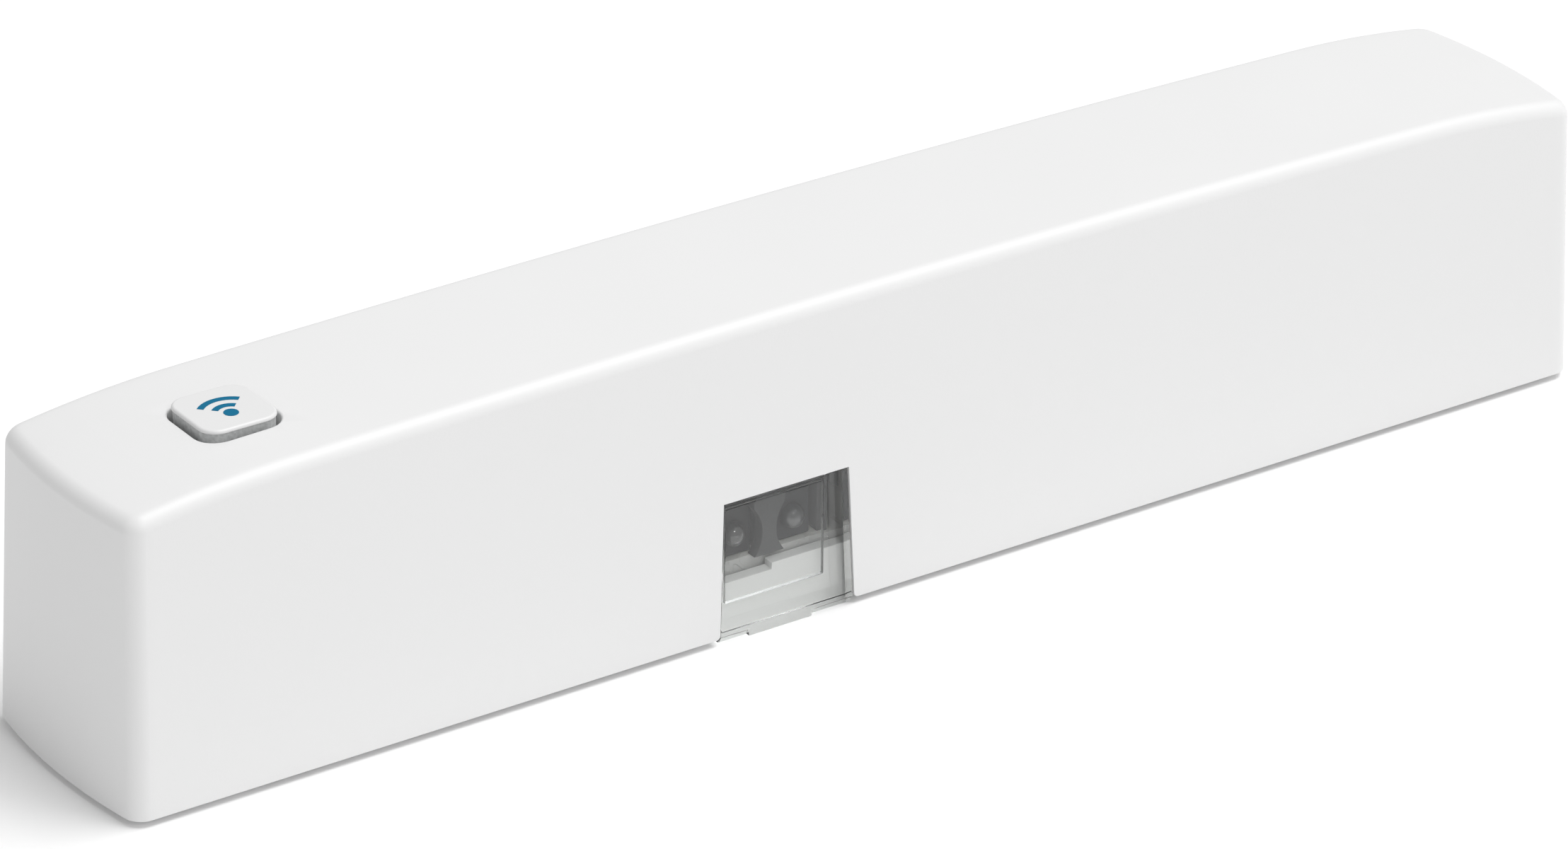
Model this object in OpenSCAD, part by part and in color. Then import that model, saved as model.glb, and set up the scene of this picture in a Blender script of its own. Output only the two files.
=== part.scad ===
// Optical window and door contact: a slim battery-powered bar that is fixed beside a
// window sash and watches a reflector on it through a clear window in its long side.
// Frame: +X along the bar towards the battery, -Y the side that faces the sash,
// +Z away from the mounting surface. Origin: centre of the flat mounting face.

/* [Housing cover] */
// Overall length of the cover, at the middle of its bulged ends
cover_len = 100; // [100:1:130]
// Width of the cover at its open rim
cover_w = 15; // [14.9:0.1:20]
// Height of the cover, from its rim to the middle of its crown
cover_h = 18.8; // [18.6:0.1:24]
// Height of the rim above the mounting face
rim_gap = 0.4; // [0.2:0.1:0.8]
// Thickness of the cover's walls and roof
cover_wall = 1.1; // [0.9:0.05:1.15]
// Draft of the walls, in degrees
draft = 1.9; // [0.5:0.1:2]
// How far each end bulges out at its middle
end_bulge = 0.7; // [0.2:0.1:1.2]
// Radius of the long crown of the roof
crown_r = 2000; // [1200:100:4000]
// Radius of the tighter crown near the ends
end_crown_r = 70; // [50:5:150]
// Length at each end that has the tighter crown
end_crown_len = 10.5; // [6:0.5:14]
// Radius of the roof's edges
edge_r = 0.8; // [0.4:0.1:1]
// Radius of the upright corners
corner_r = 0.9; // [0.5:0.1:1.5]

/* [Sensor window] */
// Place of the window's middle along the bar
window_x = -7.5; // [-12:0.5:-7.5]
// Width of the notch in the cover, at the rim
window_w = 9.1; // [7.5:0.1:9.2]
// Lean of each side of the notch, in degrees
window_taper = 2.4; // [0:0.2:3]
// Height of the notch above the rim
window_h = 8.2; // [7.8:0.1:10]
// Play between the clear window and the notch
window_fit = 0.05; // [0.03:0.01:0.1]
// Thickness of the clear front pane
pane_t = 1.8; // [1:0.1:1.9]
// Depth of the clear window, from its front to its back
window_depth = 2.15; // [2:0.05:2.4]
// Width of the solid border at each side of the pane, at the rim
window_border = 1.15; // [0.8:0.05:1.5]
// Height of the solid foot under the pane
window_foot = 1.8; // [1.2:0.1:2]

/* [Sensor] */
// Distance between the two optical axes
optic_pitch = 4; // [3.6:0.1:4.3]
// Height of the optical axes above the mounting face
optic_z = 5.1; // [5:0.1:5.4]
// Radius of the lens on each sensor
lens_r = 0.75; // [0.5:0.05:0.8]
// Width of the light barrier at its top and bottom
barrier_w = 2.1; // [1.6:0.1:2.2]
// Width of the light barrier at its waist
barrier_waist = 0.95; // [0.7:0.05:1.1]

/* [Button] */
// Place of the button along the bar
button_x = -39.2; // [-40:0.1:-39]
// Place of the button across the bar
button_y = -0.3; // [-0.4:0.1:0.4]
// Width of the square button cap
button_w = 4.7; // [3.8:0.1:5.6]
// Corner radius of the button cap
button_corner_r = 1.1; // [0.6:0.1:1.5]
// Gap around the button in the cover
button_gap = 0.22; // [0.14:0.02:0.4]
// How far the button stands proud of the cover
button_proud = 0.5; // [0.3:0.05:0.8]
// Thickness of the white cap on the light guide
button_cap_t = 0.25; // [0.2:0.05:0.5]
// Travel of the button and of the switch under it
button_travel = 0.25; // [0.15:0.05:0.3]

/* [Battery] */
// Diameter of the cell over its sleeve
cell_d = 10.5; // [8:0.1:10.5]
// Length of the cell, with its positive nub
cell_len = 44.5; // [36:0.5:44.5]
// Diameter of the positive nub
nub_d = 3.8; // [3:0.1:4.5]
// Length of the positive nub
nub_len = 0.9; // [0.6:0.1:1.2]
// Radial play of the cell in its holder
cell_play = 0.1; // [0.05:0.05:0.2]
// Length of the negative spring, compressed by the cell
spring_len = 2.2; // [1.8:0.1:2.3]
// Wire of the negative spring
spring_wire = 0.45; // [0.3:0.05:0.5]
// Thickness of the contact plates
contact_t = 0.3; // [0.2:0.05:0.35]

/* [Base and board] */
// Thickness of the base's floor
floor_t = 1.4; // [1.2:0.1:1.5]
// Gap between the floor and the circuit board
board_gap = 1.2; // [1:0.1:1.3]
// Thickness of the circuit board
board_t = 1; // [0.8:0.1:1.2]
// Height of the side rails above the board
rail_over = 0.8; // [0.6:0.1:0.9]
// Thickness of the side rails
rail_t = 0.9; // [0.7:0.05:0.95]
// Play between the base and the cover
base_fit = 0.2; // [0.12:0.02:0.25]
// Play between the board and the rails
board_fit = 0.12; // [0.08:0.02:0.15]
// Distance between the two fixing screw holes
screw_pitch = 48; // [44:0.5:52]
// Radius of the fixing screw holes
screw_hole_r = 1.25; // [1:0.05:1.5]

/* [Antenna] */
// Diameter of the antenna wire
antenna_d = 0.6; // [0.4:0.1:0.8]
// Height of the antenna's lower run
antenna_z = 11; // [10.5:0.1:11.5]
// Distance between the antenna's two runs
antenna_fold = 2.6; // [2.2:0.1:3]

/* [Hidden] */

$fn = 48;
eps = 0.01;
slip = 0.02; // gap between faces that rest on each other

rim = rim_gap;
slope = tan(draft);
board_z = floor_t + board_gap;
board_top = board_z + board_t;
rail_top = board_top + rail_over;

// Height of the roof's outer face, without its rounded edges
function roof_z(x) =
  rim + cover_h - x * x / (2 * crown_r)
  - pow(max(abs(x) - (cover_len / 2 - end_crown_len), 0), 2) / (2 * end_crown_r);
// Half width of the cover's outer face and of its cavity at a height
function outer_hw(z) = cover_w / 2 - slope * (z - rim);
function cavity_hw(z) = outer_hw(z) - cover_wall;

snap_x = [-30, 30];
snap_w = 4;
snap_z = rail_top - 0.7;
snap_h = 0.5;
snap_play = 0.05;

base_hw = cavity_hw(rail_top) - base_fit;
base_inset = cover_w / 2 - base_hw;
base_half_len = cover_len / 2 - base_inset;
board_hw = base_hw - rail_t - board_fit;
board_half_len = base_half_len - end_bulge - 0.4;
rail_half_len = board_half_len - 3;

// Sensor window and what stands behind it
window_front = -outer_hw(rim) + window_fit; // at rim height
window_top = rim + window_h - window_fit;
window_back = window_front + window_depth;
window_hw = window_w / 2 - window_fit;
flange_w = 0.45;
flange_t = 0.6;
bay_hw = window_w / 2 + flange_w + 0.15;
holder_front = window_back + 0.05;
holder_back = holder_front + 3.9;
holder_top = window_top - 0.2;
holder_wall = 0.6;
barrier_front = holder_front + 0.35;
barrier_r = 2.3;
lens_front = holder_front + 0.35;
optic_front = lens_front + lens_r;
barrier_depth = optic_front - barrier_front - 0.05;
optic_body = [2.5, 1.5, 3];
holder_hw = optic_pitch / 2 + optic_body[0] / 2 + 0.45 + holder_wall;
sill_t = 0.75;
sill_top = board_top - 0.35;
sill_step = 0.4;
sill_split = window_x - 0.1; // where the sill steps down

// Button, its switch and the tamper switch
switch_size = [4.4, 4.4, 2.2];
switch_plate_t = 0.25;
switch_stem_r = 1;
switch_well_r = 1.35;
switch_well = 1.3;
stem_proud = 1.4;
stem_flange_t = 0.35;
stem_top = board_top + switch_size[2] + switch_plate_t + stem_proud;
plunger_w = 3;
plunger_play = 0.15;
collar_w = button_w + 2 * button_gap + 0.8;
collar_t = 0.6;
button_roof = roof_z(button_x);
button_top = button_roof + button_proud;
collar_top = button_roof - cover_wall - 0.3;
tower_wall = 0.8;
tower_top = collar_top - collar_t - button_travel - 0.5;
tower_opening = stem_top + 1.2;
tower_x = switch_size[0] / 2 + 0.3;
tower_y = switch_size[1] / 2 + 0.3;
tamper_size = [3, 4, 2];
tamper_x = -board_half_len + tamper_size[0] / 2 + 0.6;
tamper_stem_r = 0.8;
tamper_stem_proud = 1;
tamper_top = board_top + tamper_size[2] + switch_plate_t + tamper_stem_proud;
tamper_post = [1.4, 2.4];
tamper_gap = 0.05;

// Battery bay
cell_r = cell_d / 2;
trough_r = cell_r + cell_play;
trough_floor = 0.95;
cell_z = board_top + trough_floor + trough_r;
bay_wall = 0.7;
dimple_t = 0.35;
bay_x1 = board_half_len - 0.3;
cell_x1 = bay_x1 - bay_wall - contact_t - dimple_t - slip;
cell_x0 = cell_x1 - cell_len;
bay_x0 = cell_x0 - slip - spring_len - contact_t - bay_wall;
bay_hw_low = board_hw - 0.05;
bay_half_w = trough_r + 0.3;
trough_top = cell_z - 1.7;
bay_end_top = cell_z + 3.2;
contact_hw = 2.6;
contact_low = cell_z - trough_r + 1.05;
can_wall = 0.25;
sleeve_t = 0.12;
pin_x = bay_x0 + 6.5;
pin_y = 3.2;
pin_r = 0.6;
pin_play = 0.05;
screw_head_r = 2.1; // opening over each fixing screw's head

// Antenna: up from the board, along the back wall, and back above itself
antenna_r = antenna_d / 2;
antenna_y = board_hw - antenna_r - 0.4;
antenna_x0 = button_x - tower_x - 1.9;
antenna_x1 = bay_x0 - 1.4;
antenna_x2 = button_x + 11;
antenna_bend = antenna_fold / 2;

// ---- shared outlines and shapes ----

// Right-hand quarter of the cover's plan, inset by d, from the end's middle to x = 0
function end_x(y, d) = cover_len / 2 - d - end_bulge * pow(y / (cover_w / 2), 2);
function quarter(d, ends, corners, sides) =
  let (hw = cover_w / 2 - d, r = max(corner_r - d, 0.15), yc = hw - r, xc = end_x(yc, d) - r)
  concat(
    [for (k = [0:ends - 1]) [end_x(yc * k / ends, d), yc * k / ends]],
    [for (k = [0:corners]) [xc + r * cos(90 * k / corners), yc + r * sin(90 * k / corners)]],
    [for (k = [1:sides]) [xc * (1 - pow(k / sides, 1.6)), hw]]
  );
// Back half of the plan, from the left end to the right end
function half_plan(d, ends, corners, sides) =
  let (q = quarter(d, ends, corners, sides), n = len(q))
  concat(
    [for (p = q) [-p[0], p[1]]],
    [for (k = [2:n]) q[n - k]]
  );
function whole_plan(d, ends = 4, corners = 3, sides = 1) =
  let (h = half_plan(d, ends, corners, sides), n = len(h))
  concat(h, [for (k = [2:n - 1]) [h[n - k][0], -h[n - k][1]]]);

// A closed solid lofted through rings of the plan. Each ring is [inset, z offset, follows the roof]
module loft(rings) {
  plans = [for (r = rings) whole_plan(r[0], 5, 4, 10)];
  n = len(plans[0]);
  m = n / 2;
  points = [for (k = [0:len(rings) - 1]) for (p = plans[k])
    [p[0], p[1], rings[k][2] ? roof_z(p[0]) + rings[k][1] : rings[k][1]]];
  last = (len(rings) - 1) * n;
  sides = [for (k = [0:len(rings) - 2]) for (i = [0:n - 1])
    let (a = k * n + i, b = k * n + (i + 1) % n)
    for (f = [[a, b, b + n], [a, b + n, a + n]]) f];
  caps = [for (j = [0:m - 1])
    let (f0 = (n - j) % n, f1 = n - j - 1)
    for (f = j == 0 ? [[0, 1, f1]] : j == m - 1 ? [[j, m, f0]] : [[j, j + 1, f1], [j, f1, f0]]) f];
  polyhedron(
    points,
    concat(
      sides,
      [for (f = caps) [last + f[0], last + f[1], last + f[2]]],
      [for (f = caps) [f[2], f[1], f[0]]]
    )
  );
}

// A square with rounded corners, centred
module rounded_square(w, r) {
  hull()
    for (sx = [-1, 1], sy = [-1, 1])
      translate([sx * (w / 2 - r), sy * (w / 2 - r)]) circle(r, $fn = 32);
}

// A box given by its low and high corners
module block(low, high) {
  translate(low) cube(high - low);
}

// A cylinder along +X
module rod(r, x0, x1) {
  translate([x0, 0, 0]) rotate([0, 90, 0]) cylinder(r = r, h = x1 - x0);
}

// A round wire through points, none of whose stretches runs along side
module tube(points, r, side, sides) {
  n = len(points);
  ahead = [for (k = [0:n - 1])
    let (d = points[min(k + 1, n - 1)] - points[max(k - 1, 0)]) d / norm(d)];
  ring = [for (k = [0:n - 1])
    let (c = cross(ahead[k], side), u = c / norm(c), v = cross(ahead[k], u))
    for (j = [0:sides - 1]) points[k] + r * (cos(360 * j / sides) * u + sin(360 * j / sides) * v)];
  polyhedron(
    ring,
    concat(
      [for (k = [0:n - 2]) for (j = [0:sides - 1])
        let (a = k * sides + j, b = k * sides + (j + 1) % sides)
        for (f = [[a, a + sides, b + sides], [a, b + sides, b]]) f],
      [[for (j = [0:sides - 1]) j]],
      [[for (j = [0:sides - 1]) n * sides - 1 - j]]
    )
  );
}

// Two-terminal chips, laid flat: body or end caps of each, at [x, y, turned]
module chip_bodies(places, size, cap) {
  for (p = places)
    translate([p[0], p[1], board_top])
      rotate([0, 0, p[2] ? 90 : 0])
        translate([-size[0] / 2 + cap, -size[1] / 2, 0])
          cube([size[0] - 2 * cap, size[1], size[2]]);
}

module chip_ends(places, size, cap) {
  for (p = places)
    translate([p[0], p[1], board_top])
      rotate([0, 0, p[2] ? 90 : 0])
        for (s = [-1, 1])
          translate([s * (size[0] / 2 - cap / 2), 0, size[2] / 2])
            cube([cap, size[1], size[2]], center = true);
}

// ---- cover ----

cover_top_inset = slope * (cover_h - edge_r);
cavity_edge_r = 0.3;
stop_rib_x = [-rail_half_len + 1, rail_half_len - 1];
stop_rib_in = base_hw - 0.2;
snap_pocket = 0.15; // depth

module cover_outside() {
  loft(concat(
    [[0, rim, false]],
    [for (a = [0:22.5:90]) [cover_top_inset + edge_r * (1 - cos(a)), edge_r * (sin(a) - 1), true]]
  ));
}

module cover_cavity() {
  loft(concat(
    [[cover_wall - slope, rim - 1, false]],
    [for (a = [0:45:90])
      [cover_wall + cover_top_inset + cavity_edge_r * (1 - cos(a)),
       cavity_edge_r * (sin(a) - 1) - cover_wall, true]]
  ));
}

// Ribs that rest on the base's rails, and the post that holds the tamper switch down
module cover_ribs() {
  for (x = stop_rib_x, s = [-1, 1])
    translate([x, s * (stop_rib_in + 1), 0])
      block([-0.6, -1, rail_top + slip], [0.6, 1, rail_top + 8]);
  block(
    [tamper_x - tamper_post[0] / 2, -tamper_post[1] / 2, tamper_top + tamper_gap],
    [tamper_x + tamper_post[0] / 2, tamper_post[1] / 2, rim + cover_h]
  );
}

// Shallow pockets for the base's snap noses
module snap_pockets() {
  for (x = snap_x, s = [-1, 1])
    translate([x, s * cavity_hw(snap_z), snap_z])
      cube([snap_w + 0.4, 2 * snap_pocket, snap_h + 0.4], center = true);
}

// The block that fills the tapered notch, smaller all round by play
module notch_block(play, low, y0, y1) {
  function side(z) = window_w / 2 - play - (z - rim) * tan(window_taper);
  high = rim + window_h - play;
  translate([window_x, y1, 0])
    rotate([90, 0, 0])
      linear_extrude(y1 - y0)
        polygon([[-side(low), low], [side(low), low], [side(high), high], [-side(high), high]]);
}

module cover() {
  color([0.93, 0.93, 0.93])
    difference() {
      cover_outside();
      snap_pockets();
      difference() {
        cover_cavity();
        cover_ribs();
      }
      notch_block(0, rim - 1, -cover_w, -cover_w / 2 + 3 * cover_wall);
      translate([button_x, button_y, button_roof - 2 * cover_wall])
        linear_extrude(4 * cover_wall)
          rounded_square(button_w + 2 * button_gap, button_corner_r + button_gap);
    }
}

// ---- base ----

label_size = [30, 8, 0.1];
label_play = 0.2;
rails = [
  [-rail_half_len, window_x - bay_hw, -1],
  [window_x + bay_hw, rail_half_len, -1],
  [-rail_half_len, rail_half_len, 1]
];
hook_x = [button_x + tower_x + 4, window_x - bay_hw - 3.5];
support_x = [-board_half_len + 1.5, button_x, window_x - bay_hw - 4, 0, 12, 36, board_half_len - 1.5];

module base_window_bay() {
  block(
    [window_x - bay_hw, -cover_w, -1],
    [window_x + bay_hw, window_back + slip, window_top + 1]
  );
}

module base() {
  color([0.92, 0.92, 0.91])
    difference() {
      union() {
        linear_extrude(floor_t) polygon(whole_plan(base_inset));
        for (r = rails)
          translate([0, r[2] * (base_hw - rail_t / 2), floor_t - eps])
            block([r[0], -rail_t / 2, 0], [r[1], rail_t / 2, rail_top - floor_t + eps]);
        for (x = snap_x, s = [-1, 1])
          translate([x, s * base_hw, snap_z])
            cube([snap_w, 2 * (base_fit - snap_play), snap_h], center = true);
        for (x = support_x)
          block([x - 0.4, -board_hw + 0.2, floor_t - eps], [x + 0.4, board_hw - 0.2, board_z - slip]);
        for (x = hook_x, s = [-1, 1])
          translate([x, s * (base_hw - rail_t), 0])
            rotate([90, 0, 90])
              linear_extrude(3, center = true)
                polygon([
                  [s * 0.1, board_top + 0.03], [-s * 0.4, board_top + 0.03], [-s * 0.4, board_top + 0.2],
                  [s * 0.1, rail_top - eps]
                ]);
        for (s = [-1, 1])
          translate([s * screw_pitch / 2, 0, floor_t - eps])
            cylinder(r = screw_hole_r + 1.2, h = board_gap - slip);
        // sill in front of the sensor, lower on one side
        block(
          [window_x - bay_hw, window_back - eps, 0.2],
          [window_x + bay_hw, window_back + sill_t, sill_top - sill_step]
        );
        block(
          [sill_split, window_back - eps, floor_t],
          [window_x + bay_hw, window_back + sill_t, sill_top]
        );
      }
      base_window_bay();
      for (s = [-1, 1])
        translate([s * screw_pitch / 2, 0, -1])
          cylinder(r = screw_hole_r, h = board_z + 2);
      block(
        [-label_size[0] / 2 - label_play, -label_size[1] / 2 - label_play, -1],
        [label_size[0] / 2 + label_play, label_size[1] / 2 + label_play, label_size[2] + slip]
      );
      for (s = [-1, 1])
        translate([pin_x, s * pin_y, board_z - 1.6])
          cylinder(r = pin_r + pin_play, h = 3);
    }
}

// Blank rating label in a shallow recess of the mounting face
module type_label() {
  color([0.8, 0.8, 0.8])
    block(
      [-label_size[0] / 2, -label_size[1] / 2, slip],
      [label_size[0] / 2, label_size[1] / 2, label_size[2] + slip]
    );
}

// ---- sensor window ----

lug_w = 4.3;
foot_chamfer = [0.3, 0.45]; // depth and height
lug_x = window_x - 0.45;
pocket_low = window_foot;
pocket_high = window_top - 0.85;
pocket_x = window_x - 0.2;
pocket_hw = window_hw - window_border;

// Side profile of the clear part, its front sloped like the cover's wall
module window_profile(front_inset, back, low, high) {
  polygon([
    [-outer_hw(low) + window_fit + front_inset, low],
    [back, low],
    [back, high],
    [-outer_hw(high) + window_fit + front_inset, high]
  ]);
}

module along_x(x0, x1) {
  translate([x0, 0, 0]) rotate([90, 0, 90]) linear_extrude(x1 - x0) children();
}

module sensor_window() {
  color([0.85, 0.88, 0.88, 0.35])
    difference() {
      union() {
        intersection() {
          along_x(window_x - window_w, window_x + window_w)
            window_profile(0, window_back, 0, window_top);
          notch_block(window_fit, 0, -cover_w, window_back + 1);
        }
        block(
          [window_x - window_w / 2 - flange_w, window_back - flange_t, 0],
          [window_x + window_w / 2 + flange_w, window_back, window_top - 0.4]
        );
      }
      block(
        [pocket_x - pocket_hw, window_front + pane_t, pocket_low],
        [pocket_x + pocket_hw, window_back + 1, pocket_high]
      );
      for (s = [-1, 1])
        translate([lug_x + s * (lug_w / 2 + window_w / 2), window_front, 0])
          rotate([90, 0, 90])
            linear_extrude(window_w, center = true)
              polygon([
                [-foot_chamfer[0], 2 * foot_chamfer[1]],
                [-foot_chamfer[0] - 1, -foot_chamfer[1]],
                [2 * foot_chamfer[0], -foot_chamfer[1]]
              ]);
    }
}

// ---- sensor ----

module sensor_holder() {
  room_hw = holder_hw - holder_wall;
  rib_hw = barrier_waist / 2 - 0.1;
  color([0.33, 0.34, 0.34])
    difference() {
      union() {
        difference() {
          block(
            [window_x - holder_hw, holder_front, board_top + slip],
            [window_x + holder_hw, holder_back, holder_top]
          );
          block(
            [window_x - room_hw, holder_front - 1, board_top - 1],
            [window_x + room_hw, holder_back - holder_wall, holder_top - holder_wall]
          );
        }
        block(
          [window_x - barrier_w / 2, barrier_front, board_top + slip],
          [window_x + barrier_w / 2, barrier_front + barrier_depth, holder_top - holder_wall + eps]
        );
        block(
          [window_x - rib_hw, barrier_front + barrier_depth - eps, board_top + slip],
          [window_x + rib_hw, holder_back - holder_wall + eps, holder_top - holder_wall + eps]
        );
      }
      for (s = [-1, 1])
        translate([window_x + s * (barrier_waist / 2 + barrier_r), barrier_front - 1, optic_z])
          rotate([-90, 0, 0])
            cylinder(r = barrier_r, h = barrier_depth + 1);
    }
}

// Side-looking package with a moulded lens
module optic(x) {
  translate([x - optic_body[0] / 2, optic_front, board_top + 0.1]) cube(optic_body);
  translate([x, optic_front + 0.1, optic_z]) sphere(lens_r + 0.1, $fn = 32);
}

module ir_emitter() {
  color([0.62, 0.66, 0.72, 0.6]) optic(window_x + optic_pitch / 2);
}

module ir_receiver() {
  color([0.2, 0.2, 0.22]) optic(window_x - optic_pitch / 2);
}

module optic_leads() {
  color([0.78, 0.78, 0.76])
    for (s = [-1, 1], l = [-1, 1])
      translate([window_x + s * optic_pitch / 2 + l * 0.75, optic_front + optic_body[1], board_top]) {
        block([-0.2, slip, 0], [0.2, 0.55, 0.2]);
        block([-0.2, slip, 0], [0.2, 0.2, 0.9]);
      }
}

// ---- circuit board ----

module board() {
  color([0.85, 0.85, 0.82])
    difference() {
      translate([0, 0, board_z])
        linear_extrude(board_t)
          difference() {
            polygon([
              [-board_half_len, -board_hw + 0.8], [-board_half_len + 0.8, -board_hw],
              [window_x - bay_hw, -board_hw], [window_x - bay_hw, window_back + sill_t + 0.15],
              [window_x + bay_hw, window_back + sill_t + 0.15], [window_x + bay_hw, -board_hw],
              [board_half_len - 0.8, -board_hw], [board_half_len, -board_hw + 0.8],
              [board_half_len, board_hw - 0.8], [board_half_len - 0.8, board_hw],
              [-board_half_len + 0.8, board_hw], [-board_half_len, board_hw - 0.8]
            ]);
            for (s = [-1, 1]) translate([s * screw_pitch / 2, 0]) circle(screw_head_r);
            for (s = [-1, 1]) translate([pin_x, s * pin_y]) circle(pin_r + pin_play);
          }
    }
}

// ---- button, its tower and switch ----

module button_tower() {
  color([0.9, 0.9, 0.89])
    translate([button_x, button_y, 0])
      difference() {
        block(
          [-tower_x, -tower_y - tower_wall, board_top],
          [tower_x, tower_y + tower_wall, tower_top]
        );
        block(
          [-tower_x - 1, -tower_y, board_top - 1],
          [tower_x + 1, tower_y, tower_opening]
        );
        block(
          [-plunger_w / 2 - plunger_play, -plunger_w / 2 - plunger_play, 0],
          [plunger_w / 2 + plunger_play, plunger_w / 2 + plunger_play, tower_top + 1]
        );
      }
}

module button_light_guide() {
  color([0.6, 0.62, 0.62])
    translate([button_x, button_y, 0]) {
      block(
        [-plunger_w / 2, -plunger_w / 2, stem_top + slip],
        [plunger_w / 2, plunger_w / 2, collar_top]
      );
      block(
        [-collar_w / 2, -collar_w / 2, collar_top - collar_t],
        [collar_w / 2, collar_w / 2, collar_top]
      );
      translate([0, 0, collar_top - eps])
        linear_extrude(button_top - button_cap_t - collar_top + eps)
          rounded_square(button_w - 0.1, button_corner_r);
    }
}

module button_cap() {
  color([0.94, 0.94, 0.94])
    translate([button_x, button_y, button_top - button_cap_t])
      hull() {
        linear_extrude(button_cap_t - 0.15) rounded_square(button_w, button_corner_r);
        linear_extrude(button_cap_t - slip) rounded_square(button_w - 0.4, button_corner_r);
      }
}

// Generic radio sign printed on the cap: a dot and two arcs
module button_symbol() {
  sign_r = [1.08, 1.88];
  stroke = 0.37;
  dot_r = 0.42;
  color([0, 0.45, 0.62])
    translate([button_x, button_y - 0.75, button_top - slip])
      linear_extrude(slip) {
        circle(dot_r);
        for (r = sign_r)
          difference() {
            circle(r);
            circle(r - stroke);
            rotate(45) translate([-3, -6]) square([6, 6]);
            rotate(-45) translate([-3, -6]) square([6, 6]);
          }
      }
}

// Push switch: moulded body with a well, pressed plate, snap disc and stem
module push_switch_body(size, well_r) {
  difference() {
    block([-size[0] / 2, -size[1] / 2, board_top], [size[0] / 2, size[1] / 2, board_top + size[2]]);
    translate([0, 0, board_top + size[2] - switch_well]) cylinder(r = well_r, h = switch_well + 1);
  }
}

module push_switch_plate(size, stem_r) {
  difference() {
    block(
      [-size[0] / 2, -size[1] / 2, board_top + size[2]],
      [size[0] / 2, size[1] / 2, board_top + size[2] + switch_plate_t]
    );
    translate([0, 0, board_top]) cylinder(r = stem_r + 0.1, h = size[2] + 1);
  }
}

module push_switch_stem(size, stem_r, top) {
  flange_top = board_top + size[2] - slip;
  translate([0, 0, flange_top - stem_flange_t]) cylinder(r = stem_r + 0.2, h = stem_flange_t);
  translate([0, 0, flange_top - stem_flange_t]) cylinder(r = stem_r, h = top - flange_top + stem_flange_t);
}

// A shallow sprung disc at the bottom of the well
module push_switch_dome(size, well_r) {
  low = board_top + size[2] - switch_well;
  translate([0, 0, low + slip]) cylinder(r1 = well_r - 0.1, r2 = well_r - 0.5, h = 0.3);
}

module at_button() {
  translate([button_x, button_y, 0]) children();
}

module at_tamper() {
  translate([tamper_x, 0, 0]) children();
}

module switch_body() {
  color([0.12, 0.12, 0.13]) at_button() push_switch_body(switch_size, switch_well_r);
}

module switch_plate() {
  color([0.75, 0.75, 0.74]) at_button() push_switch_plate(switch_size, switch_stem_r);
}

module switch_stem() {
  color([0.2, 0.2, 0.2]) at_button() push_switch_stem(switch_size, switch_stem_r, stem_top);
}

module switch_dome() {
  color([0.8, 0.78, 0.7]) at_button() push_switch_dome(switch_size, switch_well_r);
}

module tamper_body() {
  color([0.12, 0.12, 0.13]) at_tamper() push_switch_body(tamper_size, tamper_stem_r + 0.35);
}

module tamper_plate() {
  color([0.75, 0.75, 0.74]) at_tamper() push_switch_plate(tamper_size, tamper_stem_r);
}

module tamper_stem() {
  color([0.85, 0.85, 0.83]) at_tamper() push_switch_stem(tamper_size, tamper_stem_r, tamper_top);
}

module tamper_dome() {
  color([0.8, 0.78, 0.7]) at_tamper() push_switch_dome(tamper_size, tamper_stem_r + 0.35);
}

module status_led() {
  color([0.9, 0.88, 0.7])
    translate([button_x + tower_x + 1.3, button_y, board_top])
      block([-0.6, -0.8, 0], [0.6, 0.8, 0.7]);
}

// ---- components on the board ----

chip_x = button_x + tower_x + 5.9;
chip_w = 5;
chip_t = 0.85;
pin_one_r = 0.35; // round dimple beside the first pin
pin_one_depth = 0.08;
radio_x = window_x - bay_hw - 3.9;
radio_w = 4;
pin_pitch = 0.8;
buffer_r = 1.9;
buffer_h = 4.6;
buffer_foot_h = 0.7;
buffer_groove = [0.7, 0.3, 0.15]; // its height over the foot, its width and its depth
buffer_place = [window_x + 1.5, holder_back + buffer_r + 0.3];
capacitor_size = [1.6, 0.8, 0.8];
resistor_size = [1.2, 0.7, 0.4];
terminal_t = 0.25;
capacitor_places = concat(
  [for (k = [0:2]) [-screw_pitch / 2 - 1.6 + 1.6 * k, -board_hw + 1, true]],
  [[radio_x - 1.2, board_hw - 1.3, false], [radio_x + 1.2, board_hw - 1.3, false]],
  [for (s = [-1, 1]) [-screw_pitch / 2 + s * 3.2, board_hw - 1.2, false]]
);
resistor_places = concat(
  [for (k = [0:3]) [chip_x - 2.1 + 1.4 * k, -board_hw + 0.9, true]],
  [for (k = [0:3]) [window_x - 2.7 + 1.5 * k, board_hw - 1.1, true]],
  [[buffer_place[0] + buffer_r + 1.2, buffer_place[1], true]]
);

module controller_chip() {
  color([0.1, 0.1, 0.11])
    translate([chip_x, 0, board_top + 0.1])
      difference() {
        linear_extrude(chip_t) square(chip_w, center = true);
        translate([-chip_w / 2 + 0.8, chip_w / 2 - 0.8, chip_t - pin_one_depth])
          cylinder(r = pin_one_r, h = 2 * pin_one_depth);
      }
}

module controller_pins() {
  color([0.78, 0.78, 0.76])
    for (side = [0:3], k = [-2.5:1:2.5])
      translate([chip_x, 0, board_top])
        rotate([0, 0, 90 * side])
          translate([chip_w / 2, k * pin_pitch, 0]) {
            block([slip, -0.15, 0], [0.55, 0.15, 0.12]);
            block([slip, -0.15, 0], [0.18, 0.15, 0.5]);
          }
}

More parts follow.
